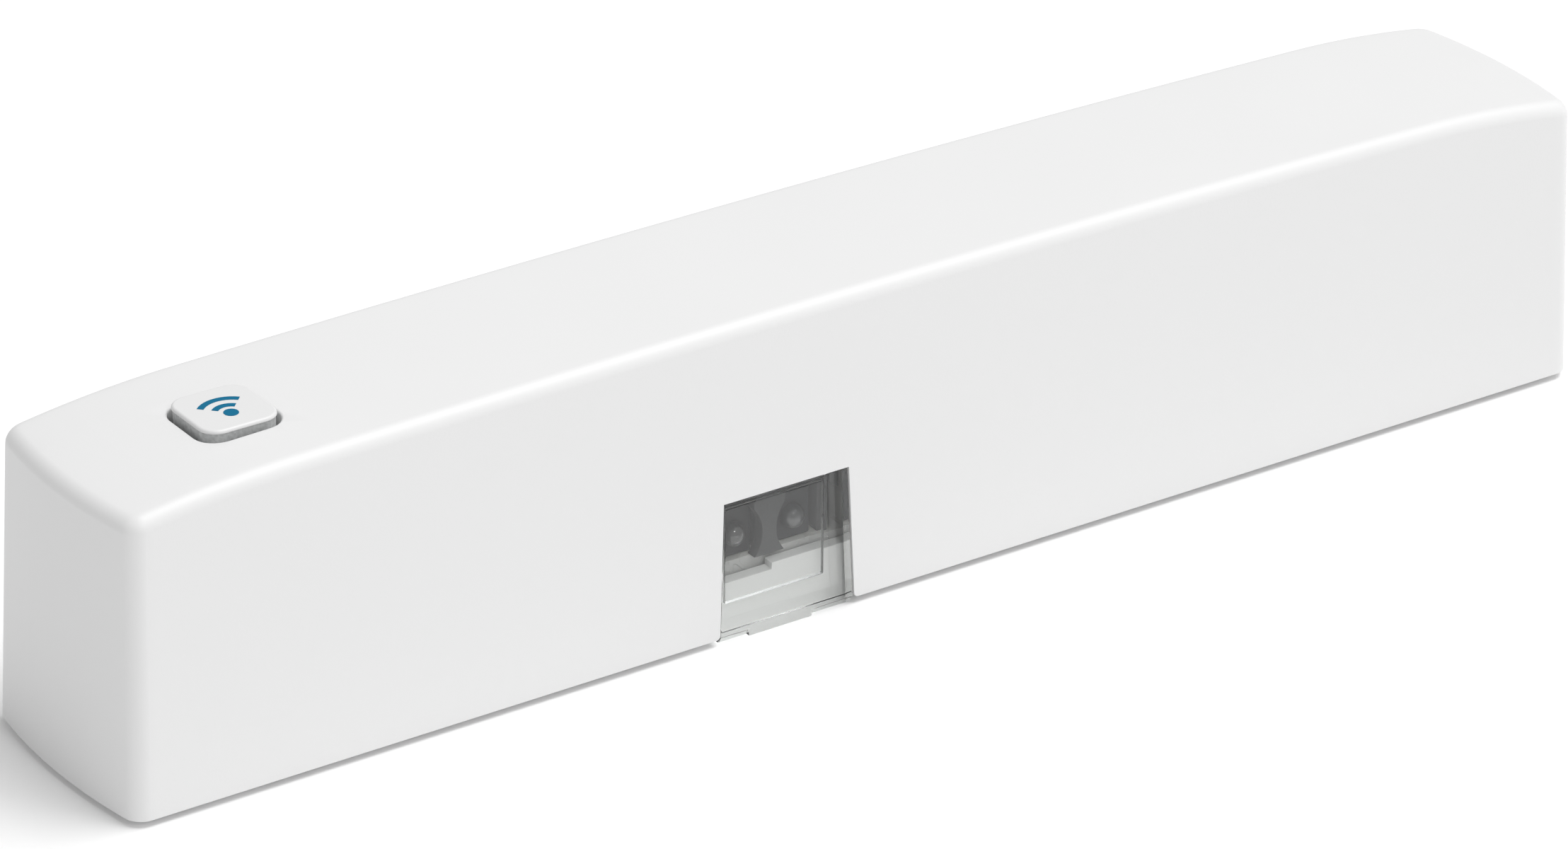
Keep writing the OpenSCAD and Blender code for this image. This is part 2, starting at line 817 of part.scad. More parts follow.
module radio_chip() {
  color([0.1, 0.1, 0.11])
    translate([radio_x, 0, board_top + 0.06])
      linear_extrude(chip_t) square(radio_w, center = true);
}

// Contact pads around the leadless radio chip
module radio_pads() {
  color([0.82, 0.74, 0.5])
    for (side = [0:3], k = [-1.5:1:1.5])
      translate([radio_x, 0, board_top])
        rotate([0, 0, 90 * side])
          block(
            [radio_w / 2 - 0.3, k * pin_pitch - 0.17, 0],
            [radio_w / 2 + 0.25, k * pin_pitch + 0.17, 0.05]
          );
}

crystal_place = [-screw_pitch / 2, board_hw - 1.35];
crystal_size = [3.2, 2, 0.6];

module crystal() {
  color([0.85, 0.8, 0.65])
    translate([crystal_place[0], crystal_place[1], board_top])
      linear_extrude(crystal_size[2] - 0.2)
        square([crystal_size[0], crystal_size[1]], center = true);
}

module crystal_lid() {
  color([0.8, 0.8, 0.8])
    translate([crystal_place[0], crystal_place[1], board_top + crystal_size[2] - 0.2])
      linear_extrude(0.2)
        square([crystal_size[0] - 0.4, crystal_size[1] - 0.4], center = true);
}

module ceramic_capacitors() {
  color([0.72, 0.6, 0.45]) chip_bodies(capacitor_places, capacitor_size, terminal_t);
}

module capacitor_ends() {
  color([0.8, 0.8, 0.78]) chip_ends(capacitor_places, capacitor_size, terminal_t);
}

module resistors() {
  color([0.12, 0.12, 0.13]) chip_bodies(resistor_places, resistor_size, terminal_t);
}

module resistor_ends() {
  color([0.8, 0.8, 0.78]) chip_ends(resistor_places, resistor_size, terminal_t);
}

// Upright electrolytic can behind the sensor, on its moulded foot
module buffer_capacitor() {
  color([0.78, 0.79, 0.8])
    translate([buffer_place[0], buffer_place[1], board_top + buffer_foot_h]) {
      cylinder(r = buffer_r, h = buffer_groove[0]);
      translate([0, 0, buffer_groove[0] - eps])
        cylinder(r = buffer_r - buffer_groove[2], h = buffer_groove[1] + 2 * eps);
      translate([0, 0, buffer_groove[0] + buffer_groove[1]])
        cylinder(r = buffer_r, h = buffer_h - buffer_foot_h - buffer_groove[0] - buffer_groove[1]);
    }
}

module buffer_capacitor_base() {
  color([0.15, 0.15, 0.15])
    translate([buffer_place[0], buffer_place[1], board_top])
      block([-buffer_r, -buffer_r, 0], [buffer_r, buffer_r, buffer_foot_h]);
}

// ---- antenna ----

antenna_sides = 8;
function arc(x, z, from, to, steps) =
  [for (k = [0:steps])
    let (a = from + (to - from) * k / steps)
    [x + antenna_bend * cos(a), antenna_y, z + antenna_bend * sin(a)]];

module antenna() {
  points = concat(
    [[antenna_x0, antenna_y, board_top]],
    arc(antenna_x0 + antenna_bend, antenna_z - antenna_bend, 180, 90, 4),
    arc(antenna_x1, antenna_z + antenna_bend, -90, 90, 8),
    [[antenna_x2, antenna_y, antenna_z + antenna_fold]]
  );
  color([0.75, 0.42, 0.25]) tube(points, antenna_r, [0, 1, 0], antenna_sides);
}

module antenna_support() {
  x = window_x - bay_hw - 0.7;
  low = antenna_z;
  color([0.9, 0.9, 0.89])
    difference() {
      block(
        [x - 0.6, antenna_y - antenna_r - 0.35, board_top],
        [x + 0.6, antenna_y + antenna_r + 0.35, low + antenna_fold + 0.9]
      );
      for (z = [low, low + antenna_fold]) {
        translate([0, antenna_y, z]) rod(antenna_r + 0.05, x - 2, x + 2);
        block(
          [x - 2, antenna_y - 2, z - antenna_r * 0.8],
          [x + 2, antenna_y, z + antenna_r * 0.8]
        );
      }
    }
}

// ---- battery bay ----

module battery_holder() {
  color([0.9, 0.9, 0.89])
    difference() {
      union() {
        block([bay_x0, -bay_hw_low, board_top], [bay_x1, bay_hw_low, rail_top + 0.2]);
        block([bay_x0, -bay_half_w, rail_top + 0.1], [bay_x1, bay_half_w, trough_top]);
        for (x = [bay_x0, bay_x1 - bay_wall])
          block([x, -contact_hw - 1.2, board_top], [x + bay_wall, contact_hw + 1.2, bay_end_top]);
        for (s = [-1, 1])
          translate([pin_x, s * pin_y, board_z - 1.2])
            cylinder(r = pin_r, h = board_t + 1.2 + 0.5);
      }
      translate([0, 0, cell_z]) rod(trough_r, bay_x0 + bay_wall, bay_x1 - bay_wall);
      translate([screw_pitch / 2, 0, board_top - 1]) cylinder(r = screw_head_r, h = 4);
      for (x = [bay_x0 + bay_wall, bay_x1 - bay_wall - contact_t])
        block([x - 0.03, -1, board_top - 1], [x + contact_t + 0.03, 1, contact_low + 0.5]);
    }
}

// Sheet contact with a tab to the board, its inner face at x
module contact_plate(x0) {
  block([x0, -contact_hw, contact_low], [x0 + contact_t, contact_hw, bay_end_top - 0.3]);
  block([x0, -0.9, board_top], [x0 + contact_t, 0.9, contact_low + eps]);
}

module positive_contact() {
  x0 = bay_x1 - bay_wall - contact_t;
  color([0.82, 0.82, 0.8])
    union() {
      contact_plate(x0);
      translate([x0 - dimple_t, 0, cell_z])
        rotate([0, 90, 0]) cylinder(r1 = 1.2, r2 = 1.8, h = dimple_t + eps);
    }
}

module negative_contact() {
  color([0.82, 0.82, 0.8]) contact_plate(bay_x0 + bay_wall);
}

// Conical spring, swept along a tapering helix
spring_turns = 3;
spring_r0 = min(3.4, cell_r - 1.5);
spring_r1 = 1.9;
spring_sides = 8;
spring_steps = 54;

module negative_spring() {
  wire_r = spring_wire / 2 - slip;
  x0 = bay_x0 + bay_wall + contact_t + spring_wire / 2;
  points = [for (k = [0:spring_steps])
    let (
      t = k / spring_steps,
      turn = 360 * spring_turns * t,
      r = spring_r0 + (spring_r1 - spring_r0) * t
    )
    [x0 + (spring_len - spring_wire) * t, r * cos(turn), cell_z + r * sin(turn)]];
  color([0.8, 0.8, 0.8]) tube(points, wire_r, [1, 0, 0], spring_sides);
}

// ---- cell ----

can_x1 = cell_x1 - nub_len;
can_r = cell_r - sleeve_t;

// Deep-drawn can, open at its negative end, with the positive nub
module cell_can() {
  color([0.78, 0.78, 0.77])
    translate([0, 0, cell_z])
      difference() {
        union() {
          rod(can_r, cell_x0 + 0.35, can_x1);
          rod(nub_d / 2, can_x1 - eps, cell_x1);
        }
        rod(can_r - can_wall, cell_x0 - 1, can_x1 - can_wall);
      }
}

module cell_core() {
  color([0.25, 0.25, 0.25])
    translate([0, 0, cell_z]) rod(can_r - can_wall - slip, cell_x0 + 2, can_x1 - can_wall - slip);
}

module cell_sleeve() {
  color([0.16, 0.35, 0.5])
    translate([0, 0, cell_z])
      difference() {
        rod(cell_r, cell_x0 + 0.35, can_x1);
        rod(can_r, cell_x0 - 1, can_x1 + 1);
      }
}

// Insulating ring between the can and the negative end
module cell_seal() {
  color([0.1, 0.1, 0.1])
    translate([0, 0, cell_z])
      difference() {
        rod(can_r - can_wall - slip, cell_x0 + 0.35, cell_x0 + 1.9);
        rod(can_r - can_wall - 0.9, cell_x0 - 1, cell_x0 + 3);
      }
}

module cell_bottom() {
  color([0.8, 0.8, 0.8])
    translate([0, 0, cell_z]) {
      rod(can_r - can_wall - 1.2, cell_x0, cell_x0 + 0.4);
      rod(can_r - can_wall - 0.9 - slip, cell_x0 + 0.3, cell_x0 + 1.6);
    }
}

// Solder at the contact tabs, the antenna's foot and the buffer capacitor
module solder_joints() {
  color([0.8, 0.8, 0.79])
    for (p = [
      [antenna_x0, antenna_y, antenna_r + 0.35], [buffer_place[0] - buffer_r - 0.3, buffer_place[1], 0.35],
      [buffer_place[0] + buffer_r + 0.3, buffer_place[1], 0.35]
    ])
      difference() {
        translate([p[0], p[1], board_top]) cylinder(r1 = p[2], r2 = p[2] * 0.5, h = 0.4);
        translate([antenna_x0, antenna_y, board_top - 1]) cylinder(r = antenna_r, h = 3);
        translate([buffer_place[0], buffer_place[1], board_top])
          block([-buffer_r, -buffer_r, -1], [buffer_r, buffer_r, 2]);
      }
}

cover();
base();
type_label();
sensor_window();
sensor_holder();
ir_emitter();
ir_receiver();
optic_leads();
board();
button_tower();
button_cap();
button_symbol();
button_light_guide();
switch_body();
switch_plate();
switch_stem();
switch_dome();
tamper_body();
tamper_plate();
tamper_stem();
tamper_dome();
status_led();
controller_chip();
controller_pins();
radio_chip();
radio_pads();
crystal();
crystal_lid();
ceramic_capacitors();
capacitor_ends();
resistors();
resistor_ends();
buffer_capacitor();
buffer_capacitor_base();
antenna();
antenna_support();
battery_holder();
positive_contact();
negative_contact();
negative_spring();
cell_can();
cell_core();
cell_sleeve();
cell_seal();
cell_bottom();
solder_joints();
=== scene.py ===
import math

import bmesh
import bpy
from mathutils import Matrix, Quaternion, Vector


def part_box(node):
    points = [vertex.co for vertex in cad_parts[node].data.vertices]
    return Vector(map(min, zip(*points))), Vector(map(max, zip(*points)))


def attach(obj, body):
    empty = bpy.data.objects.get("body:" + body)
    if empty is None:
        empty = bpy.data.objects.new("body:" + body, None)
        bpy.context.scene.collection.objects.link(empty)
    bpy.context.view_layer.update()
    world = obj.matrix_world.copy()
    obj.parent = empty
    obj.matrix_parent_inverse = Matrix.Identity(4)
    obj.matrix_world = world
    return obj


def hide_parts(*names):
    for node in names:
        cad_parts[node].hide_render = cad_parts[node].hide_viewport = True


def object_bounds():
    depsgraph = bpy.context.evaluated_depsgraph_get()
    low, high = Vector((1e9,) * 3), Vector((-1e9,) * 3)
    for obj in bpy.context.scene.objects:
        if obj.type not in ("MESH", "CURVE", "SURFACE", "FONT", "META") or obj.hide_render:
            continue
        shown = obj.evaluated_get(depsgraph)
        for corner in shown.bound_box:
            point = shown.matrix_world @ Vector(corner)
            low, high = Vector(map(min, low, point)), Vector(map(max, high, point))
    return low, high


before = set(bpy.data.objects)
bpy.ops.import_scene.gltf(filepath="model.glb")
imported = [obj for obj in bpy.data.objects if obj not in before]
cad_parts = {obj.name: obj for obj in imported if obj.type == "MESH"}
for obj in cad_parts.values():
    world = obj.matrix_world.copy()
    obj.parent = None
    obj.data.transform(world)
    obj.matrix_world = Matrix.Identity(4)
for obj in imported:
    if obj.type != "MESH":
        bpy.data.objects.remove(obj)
cad_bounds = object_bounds()
scene = bpy.context.scene


# ---- Studio ----
# A pale seamless floor under an even white sky. A large soft box above and to the right leaves the
# left end the darkest side, and a small one in front lights the front wall. The camera looks down
# at the bar's left end.
middle = (cad_bounds[0] + cad_bounds[1]) / 2
aim = middle + Vector((-0.0024, 0.0004, -0.0019))
azimuth = math.radians(-35.06)
elevation = math.radians(26.80)
roll = math.radians(0.796)
camera_distance = 0.40765

camera_data = bpy.data.cameras.new("camera")
camera_data.lens = 165.8
camera_data.sensor_width = 36
camera_data.clip_start = 0.01
camera = bpy.data.objects.new("camera", camera_data)
scene.collection.objects.link(camera)
towards_camera = Vector((
    math.sin(azimuth) * math.cos(elevation),
    -math.cos(azimuth) * math.cos(elevation),
    math.sin(elevation),
))
camera.location = aim + camera_distance * towards_camera
camera.rotation_mode = "QUATERNION"
camera.rotation_quaternion = (
    towards_camera.to_track_quat("Z", "Y") @ Quaternion((0, 0, 1), roll)
)
scene.camera = camera

sky = bpy.data.worlds.new("sky")
sky.use_nodes = True
sky.node_tree.nodes["Background"].inputs["Color"].default_value = (1, 1, 1, 1)
sky.node_tree.nodes["Background"].inputs["Strength"].default_value = 0.44
scene.world = sky
scene.view_settings.view_transform = "Standard"


def soft_box(name, place, size, power):
    lamp = bpy.data.lights.new(name, "AREA")
    lamp.shape = "RECTANGLE"
    lamp.size, lamp.size_y = size
    lamp.energy = power
    box = bpy.data.objects.new(name, lamp)
    scene.collection.objects.link(box)
    box.location = place
    box.rotation_mode = "QUATERNION"
    box.rotation_quaternion = (Vector(place) - middle).to_track_quat("Z", "Y")


soft_box("key_soft_box", (0.5, -0.3, 1.45), (1.1, 1.0), 18.8)
soft_box("front_soft_box", (-0.045, -0.427, 0.36), (0.07, 0.07), 0.25)


# ---- Moulded plastic ----
# The white parts are injection moulded in a spark-eroded tool, which leaves a fine even grain.
# Every moulded part shares this grain, with its own size and depth.
def grain_nodes():
    group = bpy.data.node_groups.new("moulded_grain", "ShaderNodeTree")
    sockets = group.interface
    for name, value in (
        ("Grain Size", 0.00015), ("Mottle", 0.01), ("Speckle", 0.0), ("Roughness", 0.45),
    ):
        sockets.new_socket(name=name, in_out="INPUT", socket_type="NodeSocketFloat").default_value = value
    for name in ("Height", "Tone", "Roughness"):
        sockets.new_socket(name=name, in_out="OUTPUT", socket_type="NodeSocketFloat")
    nodes, links = group.nodes, group.links
    given = nodes.new("NodeGroupInput")
    result = nodes.new("NodeGroupOutput")
    place = nodes.new("ShaderNodeTexCoord")
    fineness = nodes.new("ShaderNodeMath")
    fineness.operation = "DIVIDE"
    fineness.inputs[0].default_value = 1
    links.new(given.outputs["Grain Size"], fineness.inputs[1])
    grain = nodes.new("ShaderNodeTexNoise")
    grain.inputs["Detail"].default_value = 3
    links.new(place.outputs["Object"], grain.inputs["Vector"])
    links.new(fineness.outputs[0], grain.inputs["Scale"])
    links.new(grain.outputs["Fac"], result.inputs["Height"])
    flow = nodes.new("ShaderNodeTexNoise")
    flow.inputs["Scale"].default_value = 90
    flow.inputs["Detail"].default_value = 4
    links.new(place.outputs["Object"], flow.inputs["Vector"])
    centred = nodes.new("ShaderNodeMath")
    centred.operation = "SUBTRACT"
    centred.inputs[1].default_value = 0.5
    links.new(flow.outputs["Fac"], centred.inputs[0])
    tone = nodes.new("ShaderNodeMath")
    tone.operation = "MULTIPLY_ADD"
    tone.inputs[2].default_value = 1
    links.new(centred.outputs[0], tone.inputs[0])
    links.new(given.outputs["Mottle"], tone.inputs[1])
    fine = nodes.new("ShaderNodeMath")
    fine.operation = "SUBTRACT"
    fine.inputs[1].default_value = 0.5
    links.new(grain.outputs["Fac"], fine.inputs[0])
    speckled = nodes.new("ShaderNodeMath")
    speckled.operation = "MULTIPLY_ADD"
    links.new(fine.outputs[0], speckled.inputs[0])
    links.new(given.outputs["Speckle"], speckled.inputs[1])
    links.new(tone.outputs[0], speckled.inputs[2])
    links.new(speckled.outputs[0], result.inputs["Tone"])
    gloss = nodes.new("ShaderNodeMath")
    gloss.operation = "MULTIPLY_ADD"
    gloss.inputs[1].default_value = 0.12
    links.new(centred.outputs[0], gloss.inputs[0])
    links.new(given.outputs["Roughness"], gloss.inputs[2])
    links.new(gloss.outputs[0], result.inputs["Roughness"])
    return group


moulded_grain = grain_nodes()


def blank_material(name):
    material = bpy.data.materials.new(name)
    material.use_nodes = True
    tree = material.node_tree
    return material, tree, tree.nodes["Principled BSDF"]


def moulded_plastic(
    name, colour, roughness=0.45, grain=0.00015, depth=0.000004, mottle=0.01, speckle=0.0, clear=0.0,
):
    material, tree, surface = blank_material(name)
    effect = tree.nodes.new("ShaderNodeGroup")
    effect.node_tree = moulded_grain
    effect.inputs["Grain Size"].default_value = grain
    effect.inputs["Mottle"].default_value = mottle
    effect.inputs["Speckle"].default_value = speckle
    effect.inputs["Roughness"].default_value = roughness
    tint = tree.nodes.new("ShaderNodeMix")
    tint.data_type = "RGBA"
    tint.blend_type = "MULTIPLY"
    tint.inputs["Factor"].default_value = 1
    tint.inputs["A"].default_value = (*colour, 1)
    tree.links.new(effect.outputs["Tone"], tint.inputs["B"])
    tree.links.new(tint.outputs["Result"], surface.inputs["Base Color"])
    tree.links.new(effect.outputs["Roughness"], surface.inputs["Roughness"])
    relief = tree.nodes.new("ShaderNodeBump")
    relief.inputs["Distance"].default_value = depth
    tree.links.new(effect.outputs["Height"], relief.inputs["Height"])
    tree.links.new(relief.outputs["Normal"], surface.inputs["Normal"])
    surface.inputs["Coat Weight"].default_value = clear
    return material


white_plastic = moulded_plastic("white_plastic", (0.80, 0.80, 0.80), mottle=0.012)


# ---- Making pieces ----
# Shapes are worked in millimetres and brought to metres when a piece is finished. Flat faces keep
# flat shading beside their rounded edges.
MM = 0.001
SHARP = math.radians(30)
CREASE = math.radians(50)


def finished(bm, name, body, material, stands_for=(), recalculate=False):
    bmesh.ops.scale(bm, vec=(MM, MM, MM), verts=bm.verts)
    if recalculate:
        bmesh.ops.recalc_face_normals(bm, faces=bm.faces)
    for face in bm.faces:
        face.smooth = True
    for edge in bm.edges:
        edge.smooth = not (len(edge.link_faces) == 2 and edge.calc_face_angle(0) > CREASE)
    mesh = bpy.data.meshes.new(name)
    bm.to_mesh(mesh)
    bm.free()
    mesh.materials.append(material)
    piece = bpy.data.objects.new(name, mesh)
    scene.collection.objects.link(piece)
    even = piece.modifiers.new("even_shading", "WEIGHTED_NORMAL")
    even.keep_sharp = True
    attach(piece, body)
    if stands_for:
        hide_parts(*stands_for)
    return piece


def rounded(bm, edges, radius, segments=2):
    return bmesh.ops.bevel(
        bm, geom=edges, offset=radius, offset_type="OFFSET", segments=segments,
        profile=0.5, affect="EDGES", clamp_overlap=True, material=-1,
    )


def node_shape(node):
    bm = bmesh.new()
    bm.from_mesh(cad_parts[node].data)
    bmesh.ops.scale(bm, vec=(1 / MM,) * 3, verts=bm.verts)
    bmesh.ops.remove_doubles(bm, verts=bm.verts, dist=0.002)
    bmesh.ops.dissolve_limit(
        bm, angle_limit=math.radians(1), verts=bm.verts, edges=bm.edges,
        use_dissolve_boundaries=False, delimit=set(),
    )
    return bm


def sharp_edges(bm, limit=SHARP):
    return [e for e in bm.edges if len(e.link_faces) == 2 and e.calc_face_angle(0) > limit]


def eased_copy(node, name, body, material, radius, segments=2):
    bm = node_shape(node)
    rounded(bm, sharp_edges(bm), radius, segments)
    return finished(bm, name, body, material, (node,))


def block(bm, low, high):
    made = bmesh.ops.create_cube(bm, size=1)["verts"]
    size = Vector(high) - Vector(low)
    bmesh.ops.scale(bm, vec=size, verts=made)
    bmesh.ops.translate(bm, vec=(Vector(high) + Vector(low)) / 2, verts=made)
    return made


def box_mm(node):
    low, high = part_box(node)
    return low / MM, high / MM


# ---- Cover ----
# One white cap with drafted walls, bulged ends and a crowned roof, moulded in one piece. It is
# open below, notched for the sensor window and pierced for the button, and snaps on the base.
cover_low, cover_high = box_mm("cover")
half_length = cover_high.x
half_width = cover_high.y
rim = cover_low.z
ridge = cover_high.z
wall = 1.1
lean_per_mm = math.tan(math.radians(1.9))
end_bulge = 0.7
crown_radius = 2000
end_crown_radius = 70
end_crown_length = 10.5

window_low, window_high = box_mm("sensor_window")
window_middle = (window_low.x + window_high.x) / 2
notch_width = 9.1
notch_top = rim + 8.2
notch_taper = math.tan(math.radians(2.4))
notch_corner = 0.25

cap_low, cap_high = box_mm("button_cap")
button_middle = (cap_low + cap_high) / 2
button_gap = 0.22
button_corner = 1.1
hole_half = (cap_high.x - cap_low.x) / 2 + button_gap
patch_half = hole_half + 1.0


def roof(x):
    beyond = max(abs(x) - (half_length - end_crown_length), 0)
    return ridge - x * x / (2 * crown_radius) - beyond * beyond / (2 * end_crown_radius)


def cut_at(bm, geometry, point, normal):
    bmesh.ops.bisect_plane(bm, geom=geometry, dist=1e-5, plane_co=point, plane_no=normal)


def around(faces):
    parts = set(faces)
    for face in faces:
        parts.update(face.edges)
        parts.update(face.verts)
    return list(parts)


def notch_faces(bm):
    found = []
    for face in bm.faces:
        middle = face.calc_center_median()
        reach = notch_width / 2 - notch_taper * (middle.z - rim)
        if face.normal.y < -0.95 and abs(middle.x - window_middle) < reach:
            found.append(face)
    return found


def cap_skin(inset, corner, edge):
    """One skin of the cover, open below, notched and with the button's hole"""
    bm = bmesh.new()
    block(bm, (-half_length, -half_width, rim), (half_length, half_width, ridge))
    lengths = {k * 2.0 for k in range(-24, 25)}
    lengths |= {s * (half_length - end_crown_length * k / 8) for k in range(1, 9) for s in (-1, 1)}
    lengths |= {button_middle.x - patch_half, button_middle.x + patch_half}
    for x in sorted(lengths):
        cut_at(bm, bm.verts[:] + bm.edges[:] + bm.faces[:], (x, 0, 0), (1, 0, 0))
    widths = {k * half_width / 5 for k in range(-4, 5)}
    widths |= {button_middle.y - patch_half, button_middle.y + patch_half}
    for y in sorted(widths):
        cut_at(bm, bm.verts[:] + bm.edges[:] + bm.faces[:], (0, y, 0), (0, 1, 0))
    for v in bm.verts:
        height = roof(v.co.x) - inset if v.co.z > rim + 1 else rim
        lean = inset + lean_per_mm * (height - rim)
        end = half_length - end_bulge * (v.co.y / half_width) ** 2 - lean
        v.co = (
            v.co.x / half_length * end,
            v.co.y / half_width * (half_width - lean),
            height,
        )
    corners = [
        e for e in bm.edges
        if abs(e.verts[0].co.z - e.verts[1].co.z) > 5 and e.calc_face_angle(0) > math.radians(60)
    ]
    rounded(bm, corners, corner, 6)
    brow = [
        e for e in bm.edges
        if e.calc_face_angle(0) > math.radians(45) and min(v.co.z for v in e.verts) > rim + 5
    ]
    rounded(bm, brow, edge, 8)
    below = [f for f in bm.faces if f.normal.z < -0.9]
    bmesh.ops.delete(bm, geom=below, context="FACES")

    for side in (-1, 1):
        front = [f for f in bm.faces if f.normal.y < -0.95]
        foot = (window_middle + side * notch_width / 2, 0, rim)
        cut_at(bm, around(front), foot, (1, 0, side * notch_taper))
    cut_at(bm, around(notch_faces(bm)), (0, 0, notch_top), (0, 0, 1))
    opened = [f for f in notch_faces(bm) if f.calc_center_median().z < notch_top]
    bmesh.ops.delete(bm, geom=opened, context="FACES")
    feet = [
        v for v in bm.verts
        if v.co.z < rim + 0.01 and v.co.y < 0
        and abs(abs(v.co.x - window_middle) - notch_width / 2) < 0.01
    ]
    bmesh.ops.bevel(
        bm, geom=feet, offset=notch_corner, segments=4, profile=0.5,
        affect="VERTICES", clamp_overlap=True, material=-1,
    )

    patch = [
        f for f in bm.faces
        if f.normal.z > 0.9
        and abs(f.calc_center_median().x - button_middle.x) < patch_half - 0.1
        and abs(f.calc_center_median().y - button_middle.y) < patch_half - 0.1
    ]
    bmesh.ops.delete(bm, geom=patch, context="FACES")
    border = [e for e in bm.edges if e.is_boundary and e.verts[0].co.z > notch_top + 1]
    ring = rounded_square(bm, button_middle, hole_half, button_corner + button_gap)
    for v in {v for e in ring for v in e.verts}:
        v.co.z = roof(v.co.x) - inset
    bmesh.ops.bridge_loops(bm, edges=border + ring)
    return bm


def rounded_square(bm, centre, half, corner, segments=8):
    """The edges of a rounded square outline, flat at z = 0"""
    made = bmesh.ops.create_circle(bm, segments=4, radius=half * math.sqrt(2), cap_ends=True)["verts"]
    bmesh.ops.rotate(bm, verts=made, matrix=Matrix.Rotation(math.radians(45), 3, "Z"))
    bmesh.ops.translate(bm, verts=made, vec=(centre.x, centre.y, 0))
    face = made[0].link_faces[0]
    before = set(bm.faces) - {face}
    bmesh.ops.bevel(
        bm, geom=made, offset=corner, segments=segments, profile=0.5,
        affect="VERTICES", clamp_overlap=True, material=-1,
    )
    face = (set(bm.faces) - before).pop()
    edges = list(face.edges)
    bmesh.ops.delete(bm, geom=[face], context="FACES_ONLY")
    return edges


def wall_faces(bm, x, side, reach):
    bm.normal_update()
    return [
        f for f in bm.faces
        if f.normal.y * side > 0.95 and abs(f.calc_center_median().x - x) < reach
    ]


def snap_pocket(bm, x, side):
    half = pocket_size[0] / 2
    for at in (x - half, x + half):
        cut_at(bm, around(wall_faces(bm, x, side, half + 3)), (at, 0, 0), (1, 0, 0))
    for at in (snap_z - pocket_size[1] / 2, snap_z + pocket_size[1] / 2):
        cut_at(bm, around(wall_faces(bm, x, side, half)), (0, 0, at), (0, 0, 1))
    pocket = [
        f for f in wall_faces(bm, x, side, half)
        if abs(f.calc_center_median().z - snap_z) < pocket_size[1] / 2
    ]
    bmesh.ops.inset_region(bm, faces=pocket, thickness=0.04, depth=pocket_depth)


def add_shape(bm, other):
    mesh = bpy.data.meshes.new("passing")
    other.to_mesh(mesh)
    other.free()
    bm.from_mesh(mesh)
    bpy.data.meshes.remove(mesh)


# Inside it has pockets for the base's snaps, ribs that stop on the base's rails, and a post that
# holds the tamper switch down while the cover is on.
rail_top = box_mm("base")[1].z
snap_x = 30
snap_z = rail_top - 0.7
pocket_size = (4.4, 0.9)
pocket_depth = 0.15
rib_x = 43.47
rib_inner_y = 5.87
rib_height = 8
rib_play = 0.02
lip_radius = 0.12
hole_lip_radius = 0.16
tamper_top = box_mm("tamper_stem")[1]
post_half = (0.7, 1.2)
tamper_middle = (box_mm("tamper_stem")[0].x + tamper_top.x) / 2


def add_rib(bm, low, high):
    rib = bmesh.new()
    block(rib, low, high)
    rounded(rib, rib.edges[:], 0.12, 2)
    add_shape(bm, rib)


cover = cap_skin(0, 0.9, 0.8)
inside = cap_skin(wall, 0.25, 0.3)
for x in (-snap_x, snap_x):
    for side in (-1, 1):
        snap_pocket(inside, x, side)
bmesh.ops.reverse_faces(inside, faces=inside.faces)
add_shape(cover, inside)
open_edges = [e for e in cover.edges if e.is_boundary]
at_hole = [e for e in open_edges if e.verts[0].co.z > notch_top + 1]
at_rim = [e for e in open_edges if e.verts[0].co.z <= notch_top + 1]
lips = bmesh.ops.bridge_loops(cover, edges=at_hole)["faces"]
lips += bmesh.ops.bridge_loops(cover, edges=at_rim)["faces"]
lip_edges = {e for f in lips for e in f.edges if e.calc_face_angle(0) > math.radians(50)}
hole_edges = [e for e in lip_edges if e.verts[0].co.z > ridge - 1]
rounded(cover, [e for e in lip_edges if e not in hole_edges], lip_radius, 3)
rounded(cover, [e for e in hole_edges if e.is_valid], hole_lip_radius, 4)
in_wall = half_width - wall * 0.6 - lean_per_mm * rib_height
for x in (-rib_x, rib_x):
    for side in (-1, 1):
        near, far = sorted((side * rib_inner_y, side * in_wall))
        add_rib(cover, (x - 0.6, near, rail_top + rib_play), (x + 0.6, far, rail_top + rib_height))
add_rib(
    cover,
    (tamper_middle - post_half[0], -post_half[1], tamper_top.z + 0.05),
    (tamper_middle + post_half[0], post_half[1], roof(tamper_middle) - wall / 2),
)
finished(cover, "cover_cap", "cover", white_plastic, ("cover",))


# ---- Base and rating label ----
# The white floor moulding that is screwed or glued to the frame. Its rails and hooks hold the board,
# its noses hold the cover. A blank rating label lies in a recess of the underside.
base_plastic = moulded_plastic("base_plastic", (0.80, 0.80, 0.79), roughness=0.5, mottle=0.02)
eased_copy("base", "base_moulding", "base", base_plastic, 0.07)


